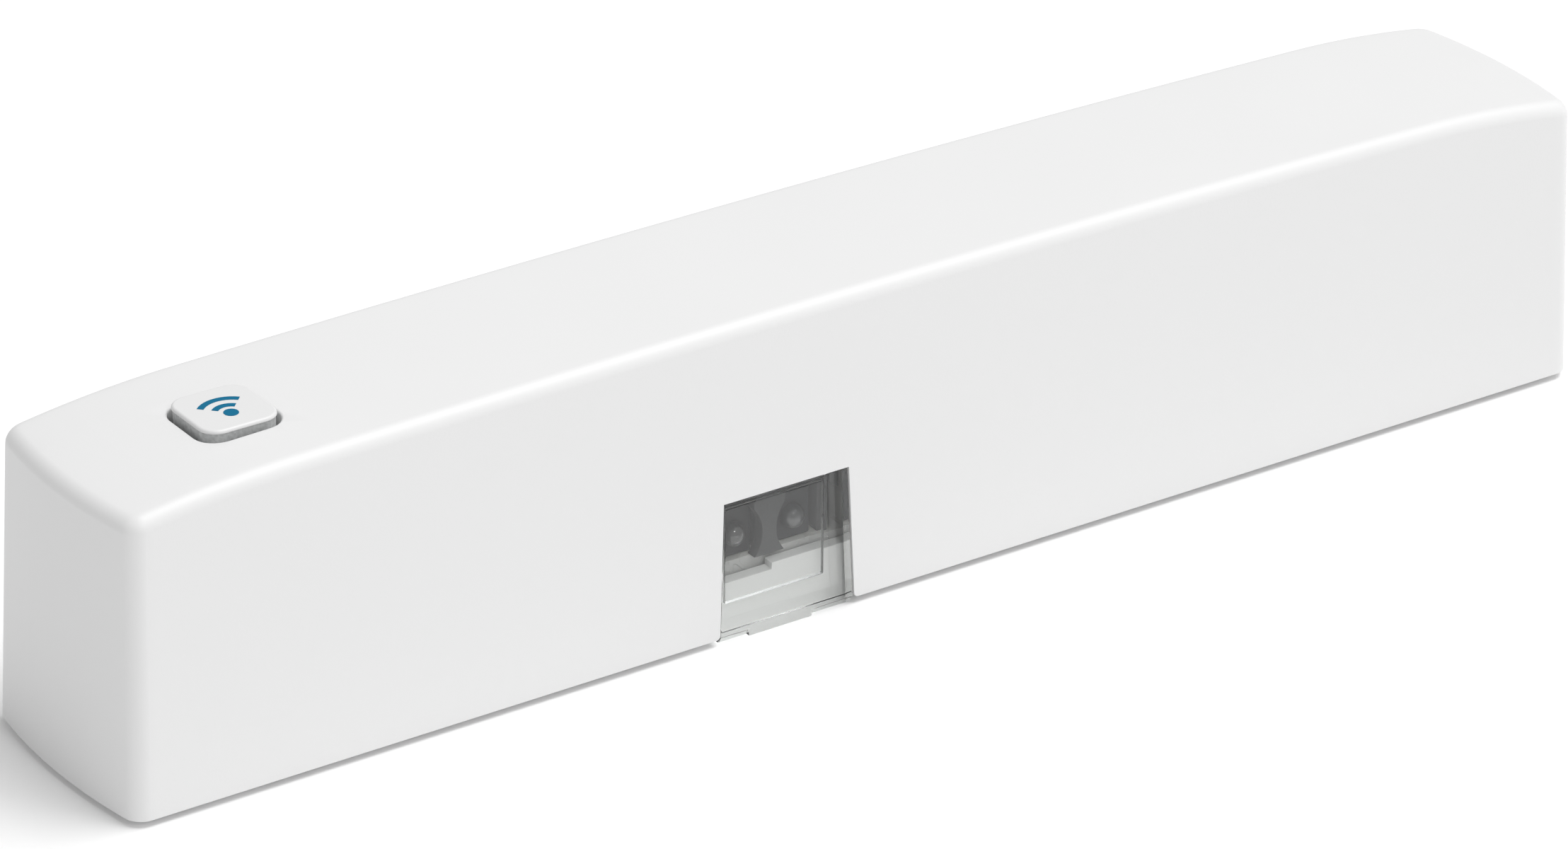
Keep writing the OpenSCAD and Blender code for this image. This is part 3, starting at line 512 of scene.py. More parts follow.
def paper(name, colour):
    material, tree, surface = blank_material(name)
    place = tree.nodes.new("ShaderNodeTexCoord")
    stretch = tree.nodes.new("ShaderNodeMapping")
    stretch.inputs["Scale"].default_value = (1, 5, 1)
    fibre = tree.nodes.new("ShaderNodeTexNoise")
    fibre.inputs["Scale"].default_value = 1800
    fibre.inputs["Detail"].default_value = 4
    shade = tree.nodes.new("ShaderNodeValToRGB")
    shade.color_ramp.elements[0].color = (*(0.88 * c for c in colour), 1)
    shade.color_ramp.elements[1].color = (*colour, 1)
    relief = tree.nodes.new("ShaderNodeBump")
    relief.inputs["Distance"].default_value = 0.000004
    tree.links.new(place.outputs["Object"], stretch.inputs["Vector"])
    tree.links.new(stretch.outputs["Vector"], fibre.inputs["Vector"])
    tree.links.new(fibre.outputs["Fac"], shade.inputs["Fac"])
    tree.links.new(fibre.outputs["Fac"], relief.inputs["Height"])
    tree.links.new(shade.outputs["Color"], surface.inputs["Base Color"])
    tree.links.new(relief.outputs["Normal"], surface.inputs["Normal"])
    surface.inputs["Roughness"].default_value = 0.7
    return material


label_paper = paper("label_paper", (0.72, 0.72, 0.70))
label = node_shape("type_label")
rounded(label, [e for e in label.edges if abs(e.verts[0].co.z - e.verts[1].co.z) > 0.05], 0.8, 6)
finished(label, "rating_label", "base", label_paper, ("type_label",))


# ---- Sensor window ----
# A block of clear plastic with a polished front, hollowed from behind so that only a pane is
# left before the sensor. A flange behind the cover's wall holds it, and its foot is solid.
def clear_plastic(name, tint, roughness, ior):
    material, tree, surface = blank_material(name)
    effect = tree.nodes.new("ShaderNodeGroup")
    effect.node_tree = moulded_grain
    effect.inputs["Grain Size"].default_value = 0.0008
    effect.inputs["Mottle"].default_value = 0.02
    effect.inputs["Roughness"].default_value = roughness
    colour = tree.nodes.new("ShaderNodeMix")
    colour.data_type = "RGBA"
    colour.blend_type = "MULTIPLY"
    colour.inputs["Factor"].default_value = 1
    colour.inputs["A"].default_value = (*tint, 1)
    tree.links.new(effect.outputs["Tone"], colour.inputs["B"])
    tree.links.new(colour.outputs["Result"], surface.inputs["Base Color"])
    polish = tree.nodes.new("ShaderNodeMath")
    polish.operation = "MULTIPLY"
    polish.inputs[1].default_value = 0.2
    tree.links.new(effect.outputs["Roughness"], polish.inputs[0])
    tree.links.new(polish.outputs[0], surface.inputs["Roughness"])
    surface.inputs["Transmission Weight"].default_value = 1
    surface.inputs["IOR"].default_value = ior
    path = tree.nodes.new("ShaderNodeLightPath")
    let_light_in = tree.nodes.new("ShaderNodeBsdfTransparent")
    let_light_in.inputs["Color"].default_value = (*(0.9 * c for c in tint), 1)
    either = tree.nodes.new("ShaderNodeMixShader")
    tree.links.new(path.outputs["Is Shadow Ray"], either.inputs["Fac"])
    tree.links.new(surface.outputs["BSDF"], either.inputs[1])
    tree.links.new(let_light_in.outputs["BSDF"], either.inputs[2])
    tree.links.new(either.outputs["Shader"], tree.nodes["Material Output"].inputs["Surface"])
    return material


window_plastic = clear_plastic("window_plastic", (0.975, 0.985, 0.98), 0.07, 1.5)
eased_copy("sensor_window", "clear_window", "base", window_plastic, 0.1, 3)


# ---- Sensor ----
# A dark grey moulded holder with an hourglass light barrier keeps the infrared emitter on the right
# from shining straight into the receiver on the left. Both are resin packages with a domed lens.
holder_plastic = moulded_plastic(
    "holder_plastic", (0.075, 0.076, 0.077), 0.6, grain=0.00009, depth=0.00001, mottle=0.2, speckle=0.9,
)
holder_plastic.node_tree.nodes["Principled BSDF"].inputs["Specular IOR Level"].default_value = 0.3
eased_copy("sensor_holder", "light_barrier", "base", holder_plastic, 0.05)


def resin(name, colour, roughness, clarity):
    material = moulded_plastic(name, colour, roughness, grain=0.0003, depth=0.000001, mottle=0.15, clear=0.6)
    surface = material.node_tree.nodes["Principled BSDF"]
    surface.inputs["Transmission Weight"].default_value = clarity
    surface.inputs["Coat Roughness"].default_value = 0.04
    return material


def lens_resin(name, colour):
    """Matt resin whose lens, in front of the package's face, is polished"""
    material = resin(name, colour, 0.5, 0)
    tree = material.node_tree
    surface = tree.nodes["Principled BSDF"]
    surface.inputs["Specular IOR Level"].default_value = 0.2
    surface.inputs["Coat IOR"].default_value = 1.8
    place = tree.nodes.new("ShaderNodeTexCoord")
    split = tree.nodes.new("ShaderNodeSeparateXYZ")
    polished = tree.nodes.new("ShaderNodeMath")
    polished.operation = "LESS_THAN"
    polished.inputs[1].default_value = (box_mm("ir_emitter")[0].y + lens_radius - 0.02) * MM
    tree.links.new(place.outputs["Object"], split.inputs["Vector"])
    tree.links.new(split.outputs["Y"], polished.inputs[0])
    tree.links.new(polished.outputs[0], surface.inputs["Coat Weight"])
    return material


def turned(outline, centre=(0, 0, 0), along="Z", steps=48):
    """Points of (radius, height), spun round an axis through the centre"""
    bm = bmesh.new()
    points = [bm.verts.new((r, 0, h)) for r, h in outline]
    for a, b in zip(points, points[1:]):
        bm.edges.new((a, b))
    if outline[0][0] > 0:
        bm.edges.new((points[-1], points[0]))
    bmesh.ops.spin(
        bm, geom=bm.verts[:] + bm.edges[:], cent=(0, 0, 0), axis=(0, 0, 1), dvec=(0, 0, 0),
        angle=math.tau, steps=steps, use_merge=True,
    )
    bmesh.ops.remove_doubles(bm, verts=bm.verts, dist=1e-4)
    bmesh.ops.recalc_face_normals(bm, faces=bm.faces)
    towards = {"X": Vector((1, 0, 0)), "Y": Vector((0, 1, 0)), "-Y": Vector((0, -1, 0))}
    if along in towards:
        turn = Vector((0, 0, 1)).rotation_difference(towards[along]).to_matrix()
        bmesh.ops.rotate(bm, verts=bm.verts, cent=(0, 0, 0), matrix=turn)
    bmesh.ops.translate(bm, verts=bm.verts, vec=centre)
    return bm


lens_radius = 0.75
lens_height = 5.1


def optic_package(node, name, material):
    low, high = box_mm(node)
    front = low.y + lens_radius
    body = bmesh.new()
    block(body, (low.x, front, low.z), (high.x, high.y, high.z))
    rounded(body, body.edges[:], 0.12, 3)
    middle_x = (low.x + high.x) / 2
    dome = [
        (lens_radius * math.sin(math.radians(90 * k / 12)), lens_radius * math.cos(math.radians(90 * k / 12)))
        for k in range(13)
    ]
    lens = turned(
        dome + [(lens_radius + 0.12, 0), (lens_radius + 0.12, -0.2), (0, -0.2)],
        (middle_x, front, lens_height), "-Y",
    )
    add_shape(body, lens)
    finished(body, name, "base", material, (node,))


emitter_resin = lens_resin("emitter_resin", (0.022, 0.024, 0.027))
receiver_resin = lens_resin("receiver_resin", (0.012, 0.012, 0.013))
optic_package("ir_emitter", "emitter_package", emitter_resin)
optic_package("ir_receiver", "receiver_package", receiver_resin)


# ---- Button ----
# A square push button with round corners: a thin white cap on a grey translucent light guide, whose
# plunger runs in the tower and works the switch. The guide's grey is painted shade: it gives the
# band below the cap the darkness of the shade in the narrow gap round it. The generic radio sign on
# the cap is printed.
cap_plastic = moulded_plastic("cap_plastic", (0.77, 0.77, 0.77), roughness=0.4, mottle=0.012)
cap = bmesh.new()
outline = rounded_square(cap, button_middle, (cap_high.x - cap_low.x) / 2, button_corner)
for v in cap.verts:
    v.co.z = cap_low.z
underside = bmesh.ops.edgeloop_fill(cap, edges=outline)["faces"]
pulled = bmesh.ops.extrude_face_region(cap, geom=underside)["geom"]
top = [v for v in pulled if isinstance(v, bmesh.types.BMVert)]
bmesh.ops.translate(cap, verts=top, vec=(0, 0, cap_high.z - cap_low.z))
bmesh.ops.recalc_face_normals(cap, faces=cap.faces)
brow = [e for e in cap.edges if e.calc_face_angle(0) > CREASE and e.verts[0].co.z > cap_high.z - 0.01]
rounded(cap, brow, 0.17, 5)
sole = [e for e in cap.edges if e.calc_face_angle(0) > CREASE and e.verts[0].co.z < cap_low.z + 0.01]
rounded(cap, sole, 0.03, 1)
finished(cap, "button_face", "button", cap_plastic, ("button_cap",))

# The guide's grey colour is painted shade, standing in for the shade in the gap round the cap.
guide_plastic = moulded_plastic(
    "guide_plastic", (0.50, 0.51, 0.51), 0.5, grain=0.0002, depth=0.00001, mottle=0.3, speckle=0.8,
)
eased_copy("button_light_guide", "button_plunger", "button", guide_plastic, 0.05)


def finish_node(node, material):
    """A carried-over CAD node takes a new material"""
    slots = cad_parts[node].material_slots
    for slot in slots:
        slot.material = material


ink = moulded_plastic("symbol_ink", (0.0, 0.145, 0.275), 0.5, grain=0.00005, mottle=0.2, speckle=0.15)
ink.node_tree.nodes["Principled BSDF"].inputs["Specular IOR Level"].default_value = 0.15
finish_node("button_symbol", ink)


# ---- Tower, clip and battery holder ----
# Three stiff white mouldings that stand on the board: the tower that guides the button's plunger,
# the clip that carries the antenna, and the trough that the cell lies in.
holder_white = moulded_plastic("holder_white", (0.70, 0.70, 0.68), roughness=0.55, mottle=0.05)
eased_copy("button_tower", "plunger_tower", "base", holder_white, 0.12, 3)
eased_copy("antenna_support", "antenna_clip", "base", holder_white, 0.06)
eased_copy("battery_holder", "battery_trough", "base", holder_white, 0.1)


# ---- Metal ----
# Rolled, drawn and plated metals share one effect: fine streaks along the rolling direction, and
# a slow change of gloss where the plating is handled or dulled.
def streak_nodes():
    group = bpy.data.node_groups.new("rolled_streaks", "ShaderNodeTree")
    sockets = group.interface
    for name, value in (("Streak Size", 0.0002), ("Stretch", 8), ("Dullness", 0.1), ("Roughness", 0.3)):
        sockets.new_socket(name=name, in_out="INPUT", socket_type="NodeSocketFloat").default_value = value
    for name in ("Height", "Tone", "Roughness"):
        sockets.new_socket(name=name, in_out="OUTPUT", socket_type="NodeSocketFloat")
    nodes, links = group.nodes, group.links
    given = nodes.new("NodeGroupInput")
    result = nodes.new("NodeGroupOutput")
    place = nodes.new("ShaderNodeTexCoord")
    scales = nodes.new("ShaderNodeCombineXYZ")
    scales.inputs["X"].default_value = 1
    scales.inputs["Z"].default_value = 1
    stretched = nodes.new("ShaderNodeVectorMath")
    stretched.operation = "MULTIPLY"
    links.new(given.outputs["Stretch"], scales.inputs["Y"])
    links.new(given.outputs["Stretch"], scales.inputs["Z"])
    links.new(place.outputs["Object"], stretched.inputs[0])
    links.new(scales.outputs["Vector"], stretched.inputs[1])
    fineness = nodes.new("ShaderNodeMath")
    fineness.operation = "DIVIDE"
    fineness.inputs[0].default_value = 0.2
    links.new(given.outputs["Streak Size"], fineness.inputs[1])
    streaks = nodes.new("ShaderNodeTexNoise")
    streaks.inputs["Detail"].default_value = 3
    links.new(stretched.outputs["Vector"], streaks.inputs["Vector"])
    links.new(fineness.outputs[0], streaks.inputs["Scale"])
    links.new(streaks.outputs["Fac"], result.inputs["Height"])
    patches = nodes.new("ShaderNodeTexNoise")
    patches.inputs["Scale"].default_value = 350
    patches.inputs["Detail"].default_value = 5
    links.new(place.outputs["Object"], patches.inputs["Vector"])
    mixed = nodes.new("ShaderNodeMath")
    mixed.operation = "MULTIPLY"
    links.new(streaks.outputs["Fac"], mixed.inputs[0])
    links.new(patches.outputs["Fac"], mixed.inputs[1])
    tone = nodes.new("ShaderNodeMath")
    tone.operation = "MULTIPLY"
    links.new(mixed.outputs[0], tone.inputs[0])
    links.new(given.outputs["Dullness"], tone.inputs[1])
    darker = nodes.new("ShaderNodeMath")
    darker.operation = "SUBTRACT"
    darker.inputs[0].default_value = 1
    links.new(tone.outputs[0], darker.inputs[1])
    links.new(darker.outputs[0], result.inputs["Tone"])
    gloss = nodes.new("ShaderNodeMath")
    gloss.operation = "MULTIPLY_ADD"
    gloss.inputs[1].default_value = 0.2
    links.new(patches.outputs["Fac"], gloss.inputs[0])
    links.new(given.outputs["Roughness"], gloss.inputs[2])
    links.new(gloss.outputs[0], result.inputs["Roughness"])
    return group


rolled_streaks = streak_nodes()


def metal(name, colour, roughness=0.25, streak=0.0002, stretch=8, dullness=0.5, depth=0.000003):
    material, tree, surface = blank_material(name)
    effect = tree.nodes.new("ShaderNodeGroup")
    effect.node_tree = rolled_streaks
    effect.inputs["Streak Size"].default_value = streak
    effect.inputs["Stretch"].default_value = stretch
    effect.inputs["Dullness"].default_value = dullness
    effect.inputs["Roughness"].default_value = roughness
    tint = tree.nodes.new("ShaderNodeMix")
    tint.data_type = "RGBA"
    tint.blend_type = "MULTIPLY"
    tint.inputs["Factor"].default_value = 1
    tint.inputs["A"].default_value = (*colour, 1)
    tree.links.new(effect.outputs["Tone"], tint.inputs["B"])
    tree.links.new(tint.outputs["Result"], surface.inputs["Base Color"])
    tree.links.new(effect.outputs["Roughness"], surface.inputs["Roughness"])
    relief = tree.nodes.new("ShaderNodeBump")
    relief.inputs["Distance"].default_value = depth
    tree.links.new(effect.outputs["Height"], relief.inputs["Height"])
    tree.links.new(relief.outputs["Normal"], surface.inputs["Normal"])
    surface.inputs["Metallic"].default_value = 1
    return material


tinned_lead = metal("tinned_lead", (0.72, 0.72, 0.70), 0.3, stretch=1)
switch_steel = metal("switch_steel", (0.62, 0.62, 0.61), 0.25)
dome_steel = metal("dome_steel", (0.66, 0.63, 0.55), 0.2, stretch=1)
contact_nickel = metal("contact_nickel", (0.70, 0.69, 0.66), 0.22)
cell_steel = metal("cell_steel", (0.66, 0.66, 0.65), 0.22, stretch=2)
can_aluminium = metal("can_aluminium", (0.76, 0.77, 0.78), 0.28, stretch=0.2)
gold_pad = metal("gold_pad", (0.75, 0.60, 0.30), 0.3, stretch=1)
wire_copper = metal("wire_copper", (0.68, 0.33, 0.17), 0.25, dullness=0.7)
solder = metal("solder", (0.68, 0.68, 0.68), 0.18, streak=0.0005, stretch=1)


# ---- Circuit board ----
# Glass-epoxy laminate with white solder mask over copper tracks on both faces, raw at its routed
# edges. It lies on the base's ribs between the rails, under four hooks.
def board_material():
    material, tree, surface = blank_material("solder_mask")
    nodes, links = tree.nodes, tree.links
    place = nodes.new("ShaderNodeTexCoord")
    tracks = nodes.new("ShaderNodeTexVoronoi")
    tracks.distance = "MANHATTAN"
    tracks.feature = "F2"
    nearer = nodes.new("ShaderNodeTexVoronoi")
    nearer.distance = "MANHATTAN"
    apart = nodes.new("ShaderNodeMath")
    apart.operation = "SUBTRACT"
    for cells in (tracks, nearer):
        cells.inputs["Scale"].default_value = 420
        links.new(place.outputs["Object"], cells.inputs["Vector"])
    links.new(tracks.outputs["Distance"], apart.inputs[0])
    links.new(nearer.outputs["Distance"], apart.inputs[1])
    on_track = nodes.new("ShaderNodeMapRange")
    on_track.interpolation_type = "SMOOTHSTEP"
    on_track.inputs["From Min"].default_value = 0.10
    on_track.inputs["From Max"].default_value = 0.14
    on_track.inputs["To Min"].default_value = 1
    on_track.inputs["To Max"].default_value = 0
    links.new(apart.outputs[0], on_track.inputs["Value"])
    cloud = nodes.new("ShaderNodeTexNoise")
    cloud.inputs["Scale"].default_value = 260
    links.new(place.outputs["Object"], cloud.inputs["Vector"])
    over_copper = nodes.new("ShaderNodeMix")
    over_copper.data_type = "RGBA"
    over_copper.inputs["A"].default_value = (0.72, 0.72, 0.69, 1)
    over_copper.inputs["B"].default_value = (0.665, 0.66, 0.625, 1)
    links.new(on_track.outputs["Result"], over_copper.inputs["Factor"])
    clouded = nodes.new("ShaderNodeMix")
    clouded.data_type = "RGBA"
    clouded.blend_type = "MULTIPLY"
    clouded.inputs["Factor"].default_value = 0.08
    links.new(over_copper.outputs["Result"], clouded.inputs["A"])
    links.new(cloud.outputs["Fac"], clouded.inputs["B"])
    facing = nodes.new("ShaderNodeNewGeometry")
    split = nodes.new("ShaderNodeSeparateXYZ")
    links.new(facing.outputs["Normal"], split.inputs["Vector"])
    level = nodes.new("ShaderNodeMath")
    level.operation = "ABSOLUTE"
    links.new(split.outputs["Z"], level.inputs[0])
    on_face = nodes.new("ShaderNodeMath")
    on_face.operation = "GREATER_THAN"
    on_face.inputs[1].default_value = 0.7
    links.new(level.outputs[0], on_face.inputs[0])
    face_or_edge = nodes.new("ShaderNodeMix")
    face_or_edge.data_type = "RGBA"
    face_or_edge.inputs["A"].default_value = (0.50, 0.50, 0.49, 1)
    links.new(on_face.outputs[0], face_or_edge.inputs["Factor"])
    links.new(clouded.outputs["Result"], face_or_edge.inputs["B"])
    links.new(face_or_edge.outputs["Result"], surface.inputs["Base Color"])
    relief = nodes.new("ShaderNodeBump")
    relief.inputs["Distance"].default_value = 0.00003
    links.new(on_track.outputs["Result"], relief.inputs["Height"])
    links.new(relief.outputs["Normal"], surface.inputs["Normal"])
    sheen = nodes.new("ShaderNodeMapRange")
    sheen.inputs["To Min"].default_value = 0.28
    sheen.inputs["To Max"].default_value = 0.42
    links.new(cloud.outputs["Fac"], sheen.inputs["Value"])
    links.new(sheen.outputs["Result"], surface.inputs["Roughness"])
    return material


eased_copy("board", "circuit_board", "base", board_material(), 0.04, 1)
finish_node("solder_joints", solder)


# ---- Switches ----
# Two push switches of one make, a square one under the button and a smaller one under the cover's
# post: a black body with a well, a sprung steel disc, a riveted steel plate and a moulded stem.
switch_plastic = moulded_plastic("switch_plastic", (0.018, 0.018, 0.020), 0.45, mottle=0.4)
stem_plastic = moulded_plastic("stem_plastic", (0.045, 0.045, 0.045), 0.4, mottle=0.3)
tamper_stem_plastic = moulded_plastic("tamper_stem_plastic", (0.68, 0.67, 0.64), 0.4, mottle=0.05)
board_top = box_mm("board")[1].z


def repeated(bm, places):
    """Copies of all that is in the mesh, one at each place, instead of it"""
    first = bm.verts[:] + bm.edges[:] + bm.faces[:]
    for place in places:
        made = bmesh.ops.duplicate(bm, geom=first)["geom"]
        copied = [v for v in made if isinstance(v, bmesh.types.BMVert)]
        bmesh.ops.transform(bm, matrix=place, verts=copied)
    bmesh.ops.delete(bm, geom=[g for g in first if isinstance(g, bmesh.types.BMVert)], context="VERTS")


def strip(start, path, width, thickness):
    """A bent sheet strip, drawn out along +X and Z from one edge"""
    bm = bmesh.new()
    ends = [bm.verts.new((start[0], side * width / 2, start[1])) for side in (-1, 1)]
    edge = bm.edges.new(ends)
    for step in path:
        drawn = bmesh.ops.extrude_edge_only(bm, edges=[edge])["geom"]
        ends = [g for g in drawn if isinstance(g, bmesh.types.BMVert)]
        bmesh.ops.translate(bm, verts=ends, vec=(step[0], 0, step[1]))
        edge = next(e for e in ends[0].link_edges if e.other_vert(ends[0]) is ends[1])
    bmesh.ops.solidify(bm, geom=bm.faces[:], thickness=thickness)
    bmesh.ops.recalc_face_normals(bm, faces=bm.faces)
    return bm


def push_switch(kind, stem_name, stem_body, stem_material):
    low, high = box_mm(kind + "_body")
    plate_high = box_mm(kind + "_plate")[1]
    stem_low, stem_high = box_mm(stem_name)
    dome_low, dome_high = box_mm(kind + "_dome")
    centre = (stem_low + stem_high) / 2
    eased_copy(kind + "_body", kind + "_housing", "base", switch_plastic, 0.08)

    plate = node_shape(kind + "_plate")
    rounded(plate, sharp_edges(plate), 0.04, 2)
    corner = (high - low) / 2 - Vector((0.5, 0.5, 0))
    rivet = turned([(0, 0.09), (0.12, 0.07), (0.2, 0), (0.2, -0.05), (0, -0.05)], steps=20)
    repeated(rivet, [
        Matrix.Translation((centre.x + sx * corner.x, centre.y + sy * corner.y, plate_high.z))
        for sx in (-1, 1) for sy in (-1, 1)
    ])
    add_shape(plate, rivet)
    finished(plate, kind + "_cover_plate", "base", switch_steel, (kind + "_plate",))

    flange = (stem_high.x - stem_low.x) / 2
    pin = flange - 0.2
    shoulder = stem_low.z + 0.35
    stem = turned(
        [(0, stem_low.z), (flange, stem_low.z), (flange, shoulder), (pin, shoulder),
         (pin, stem_high.z), (0, stem_high.z)],
        (centre.x, centre.y, 0),
    )
    rounded(stem, sharp_edges(stem, CREASE), 0.07, 3)
    finished(stem, kind + "_pin", stem_body, stem_material, (stem_name,))

    reach = (dome_high.x - dome_low.x) / 2
    rise = dome_high.z - dome_low.z
    bulge = [(reach * k / 6, dome_low.z + rise * (1 - (k / 6) ** 2)) for k in range(7)]
    skin = [(r, max(z - 0.08, dome_low.z)) for r, z in reversed(bulge[:-1])]
    disc = turned(bulge + skin, (centre.x, centre.y, 0))
    finished(disc, kind + "_snap_disc", "base", dome_steel, (kind + "_dome",))

    leg = strip((0, 0.7), [(0.35, 0), (0.12, -0.08), (0.1, -0.52), (0.45, -0.02)], 0.5, 0.12)
    places = []
    for sx in (-1, 1):
        for sy in (-1, 1):
            turn = Matrix.Rotation(0 if sx > 0 else math.pi, 4, "Z")
            side = centre.x + sx * (high.x - low.x) / 2
            row = centre.y + sy * (high.y - low.y) * 0.28
            places.append(Matrix.Translation((side - sx * 0.05, row, board_top)) @ turn)
    repeated(leg, places)
    finished(leg, kind + "_legs", "base", tinned_lead, ())


push_switch("switch", "switch_stem", "button", stem_plastic)
push_switch("tamper", "tamper_stem", "tamper_stem", tamper_stem_plastic)


# ---- Chips ----
# The controller stands on four rows of gull-wing legs. The radio chip is leadless and sits on gold
# plated pads. Both are black moulded epoxy with a fine matt grain.
chip_epoxy = moulded_plastic(
    "chip_epoxy", (0.022, 0.022, 0.024), 0.55, grain=0.00006, depth=0.000006, mottle=0.5,
)
eased_copy("controller_chip", "controller_body", "base", chip_epoxy, 0.06)
eased_copy("radio_chip", "radio_body", "base", chip_epoxy, 0.05)
finish_node("radio_pads", gold_pad)

chip_low, chip_high = box_mm("controller_chip")
chip_middle = (chip_low + chip_high) / 2
chip_half = (chip_high.x - chip_low.x) / 2
pin_pitch = 0.8
leg = strip((0, 0.5), [(0.2, 0), (0.06, -0.06), (0.08, -0.34), (0.22, -0.04)], 0.28, 0.1)
repeated(leg, [
    Matrix.Translation((chip_middle.x, chip_middle.y, board_top))
    @ Matrix.Rotation(math.radians(90 * side), 4, "Z")
    @ Matrix.Translation((chip_half - 0.03, (k - 2.5) * pin_pitch, 0))
    for side in range(4) for k in range(6)
])
finished(leg, "controller_legs", "base", tinned_lead, ("controller_pins",))

optic_leg = strip((0, 0.9), [(0.12, 0), (0.05, -0.05), (0.03, -0.75), (0.3, -0.03)], 0.4, 0.1)
optic_places = []
for node in ("ir_emitter", "ir_receiver"):
    low, high = box_mm(node)
    for x in (-0.75, 0.75):
        optic_places.append(
            Matrix.Translation(((low.x + high.x) / 2 + x, high.y - 0.03, board_top))
            @ Matrix.Rotation(math.radians(90), 4, "Z")
        )
repeated(optic_leg, optic_places)
finished(optic_leg, "optic_legs", "base", tinned_lead, ("optic_leads",))


# ---- Small components ----
# Ceramic capacitors, resistors, a crystal with its welded lid and the status light, all soldered
# flat on the board. Their bodies have softly broken edges and tinned ends.
def fired_ceramic(name, colour, roughness=0.5):
    return moulded_plastic(name, colour, roughness, grain=0.00005, depth=0.000005, mottle=0.3)


capacitor_ceramic = fired_ceramic("capacitor_ceramic", (0.42, 0.29, 0.16))
resistor_glaze = moulded_plastic("resistor_glaze", (0.02, 0.02, 0.022), 0.2, mottle=0.4, clear=0.3)
crystal_ceramic = fired_ceramic("crystal_ceramic", (0.55, 0.48, 0.33))
led_resin = resin("led_resin", (0.72, 0.66, 0.35), 0.2, 0.3)
eased_copy("ceramic_capacitors", "capacitor_bodies", "base", capacitor_ceramic, 0.05)
eased_copy("capacitor_ends", "capacitor_caps", "base", tinned_lead, 0.06)
eased_copy("resistors", "resistor_bodies", "base", resistor_glaze, 0.03)
eased_copy("resistor_ends", "resistor_caps", "base", tinned_lead, 0.05)
eased_copy("crystal", "crystal_tray", "base", crystal_ceramic, 0.05)
eased_copy("crystal_lid", "crystal_cover", "base", switch_steel, 0.05)
eased_copy("status_led", "status_light", "base", led_resin, 0.08, 3)

capacitor_foot_plastic = moulded_plastic("capacitor_foot_plastic", (0.02, 0.02, 0.02), 0.5, mottle=0.3)
eased_copy(
    "buffer_capacitor_base", "can_foot", "base", capacitor_foot_plastic, 0.15, 3,
)
buffer_low, buffer_high = box_mm("buffer_capacitor")
buffer_radius = (buffer_high.x - buffer_low.x) / 2
buffer_top = buffer_high.z
groove = buffer_low.z + 0.7
groove_radius = buffer_radius - 0.15
buffer = turned(
    [(0, buffer_low.z), (buffer_radius, buffer_low.z), (buffer_radius, groove),
     (groove_radius, groove + 0.1), (groove_radius, groove + 0.2), (buffer_radius, groove + 0.3),
     (buffer_radius, buffer_top), (buffer_radius - 0.35, buffer_top),
     (buffer_radius - 0.4, buffer_top - 0.06), (0, buffer_top - 0.06)],
    ((buffer_low.x + buffer_high.x) / 2, (buffer_low.y + buffer_high.y) / 2, 0),
)
rounded(buffer, sharp_edges(buffer, CREASE), 0.06, 3)
finished(buffer, "buffer_can", "base", can_aluminium, ("buffer_capacitor",))


# ---- Antenna and spring ----
# Both are bent from wire. The antenna rises from the board, runs along the back wall, folds and
# comes back above itself. The conical spring presses on the cell's negative end.
def wire(name, points, radius, body, material, stands_for):
    path = bpy.data.curves.new(name, "CURVE")
    path.dimensions = "3D"
    path.bevel_depth = radius * MM
    path.bevel_resolution = 4
    path.use_fill_caps = True
    line = path.splines.new("POLY")
    line.points.add(len(points) - 1)
    for end, place in zip(line.points, points):
        end.co = (*(MM * c for c in place), 1)
    path.materials.append(material)
    piece = bpy.data.objects.new(name, path)
    scene.collection.objects.link(piece)
    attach(piece, body)
    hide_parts(stands_for)
    return piece


antenna_low, antenna_high = box_mm("antenna")
antenna_radius = (antenna_high.y - antenna_low.y) / 2
antenna_y = (antenna_low.y + antenna_high.y) / 2
upper_run = antenna_high.z - antenna_radius
lower_run = upper_run - 2.6
bend = (upper_run - lower_run) / 2
antenna_left = antenna_low.x + antenna_radius
antenna_right = antenna_high.x - antenna_radius - bend
antenna_end = button_middle.x + 11


def bend_points(x, z, first, last, steps):
    angles = [math.radians(first + (last - first) * k / steps) for k in range(steps + 1)]
    return [(x + bend * math.cos(a), antenna_y, z + bend * math.sin(a)) for a in angles]


wire(
    "antenna_wire",
    [(antenna_left, antenna_y, antenna_low.z)]
    + bend_points(antenna_left + bend, lower_run - bend, 180, 90, 10)
    + bend_points(antenna_right, lower_run + bend, -90, 90, 20)
    + [(antenna_end, antenna_y, upper_run)],
    antenna_radius, "base", wire_copper, "antenna",
)

spring_low, spring_high = box_mm("negative_spring")
spring_turns = 3
spring_wire = 0.205
wide = (spring_high.y - spring_low.y) / 2 - spring_wire
narrow = 1.9
cell_z = (box_mm("cell_can")[0].z + box_mm("cell_can")[1].z) / 2
spring_points = []
for k in range(spring_turns * 36 + 1):
    along = k / (spring_turns * 36)
    turn = math.tau * spring_turns * along
    reach = wide + (narrow - wide) * along
    x = spring_low.x + spring_wire + (spring_high.x - spring_low.x - 2 * spring_wire) * along
    spring_points.append((x, reach * math.cos(turn), cell_z + reach * math.sin(turn)))
wire(
    "contact_spring", spring_points, spring_wire, "base", contact_nickel,
    "negative_spring",
)
eased_copy("positive_contact", "positive_plate", "base", contact_nickel, 0.05)
eased_copy("negative_contact", "negative_plate", "base", contact_nickel, 0.05)


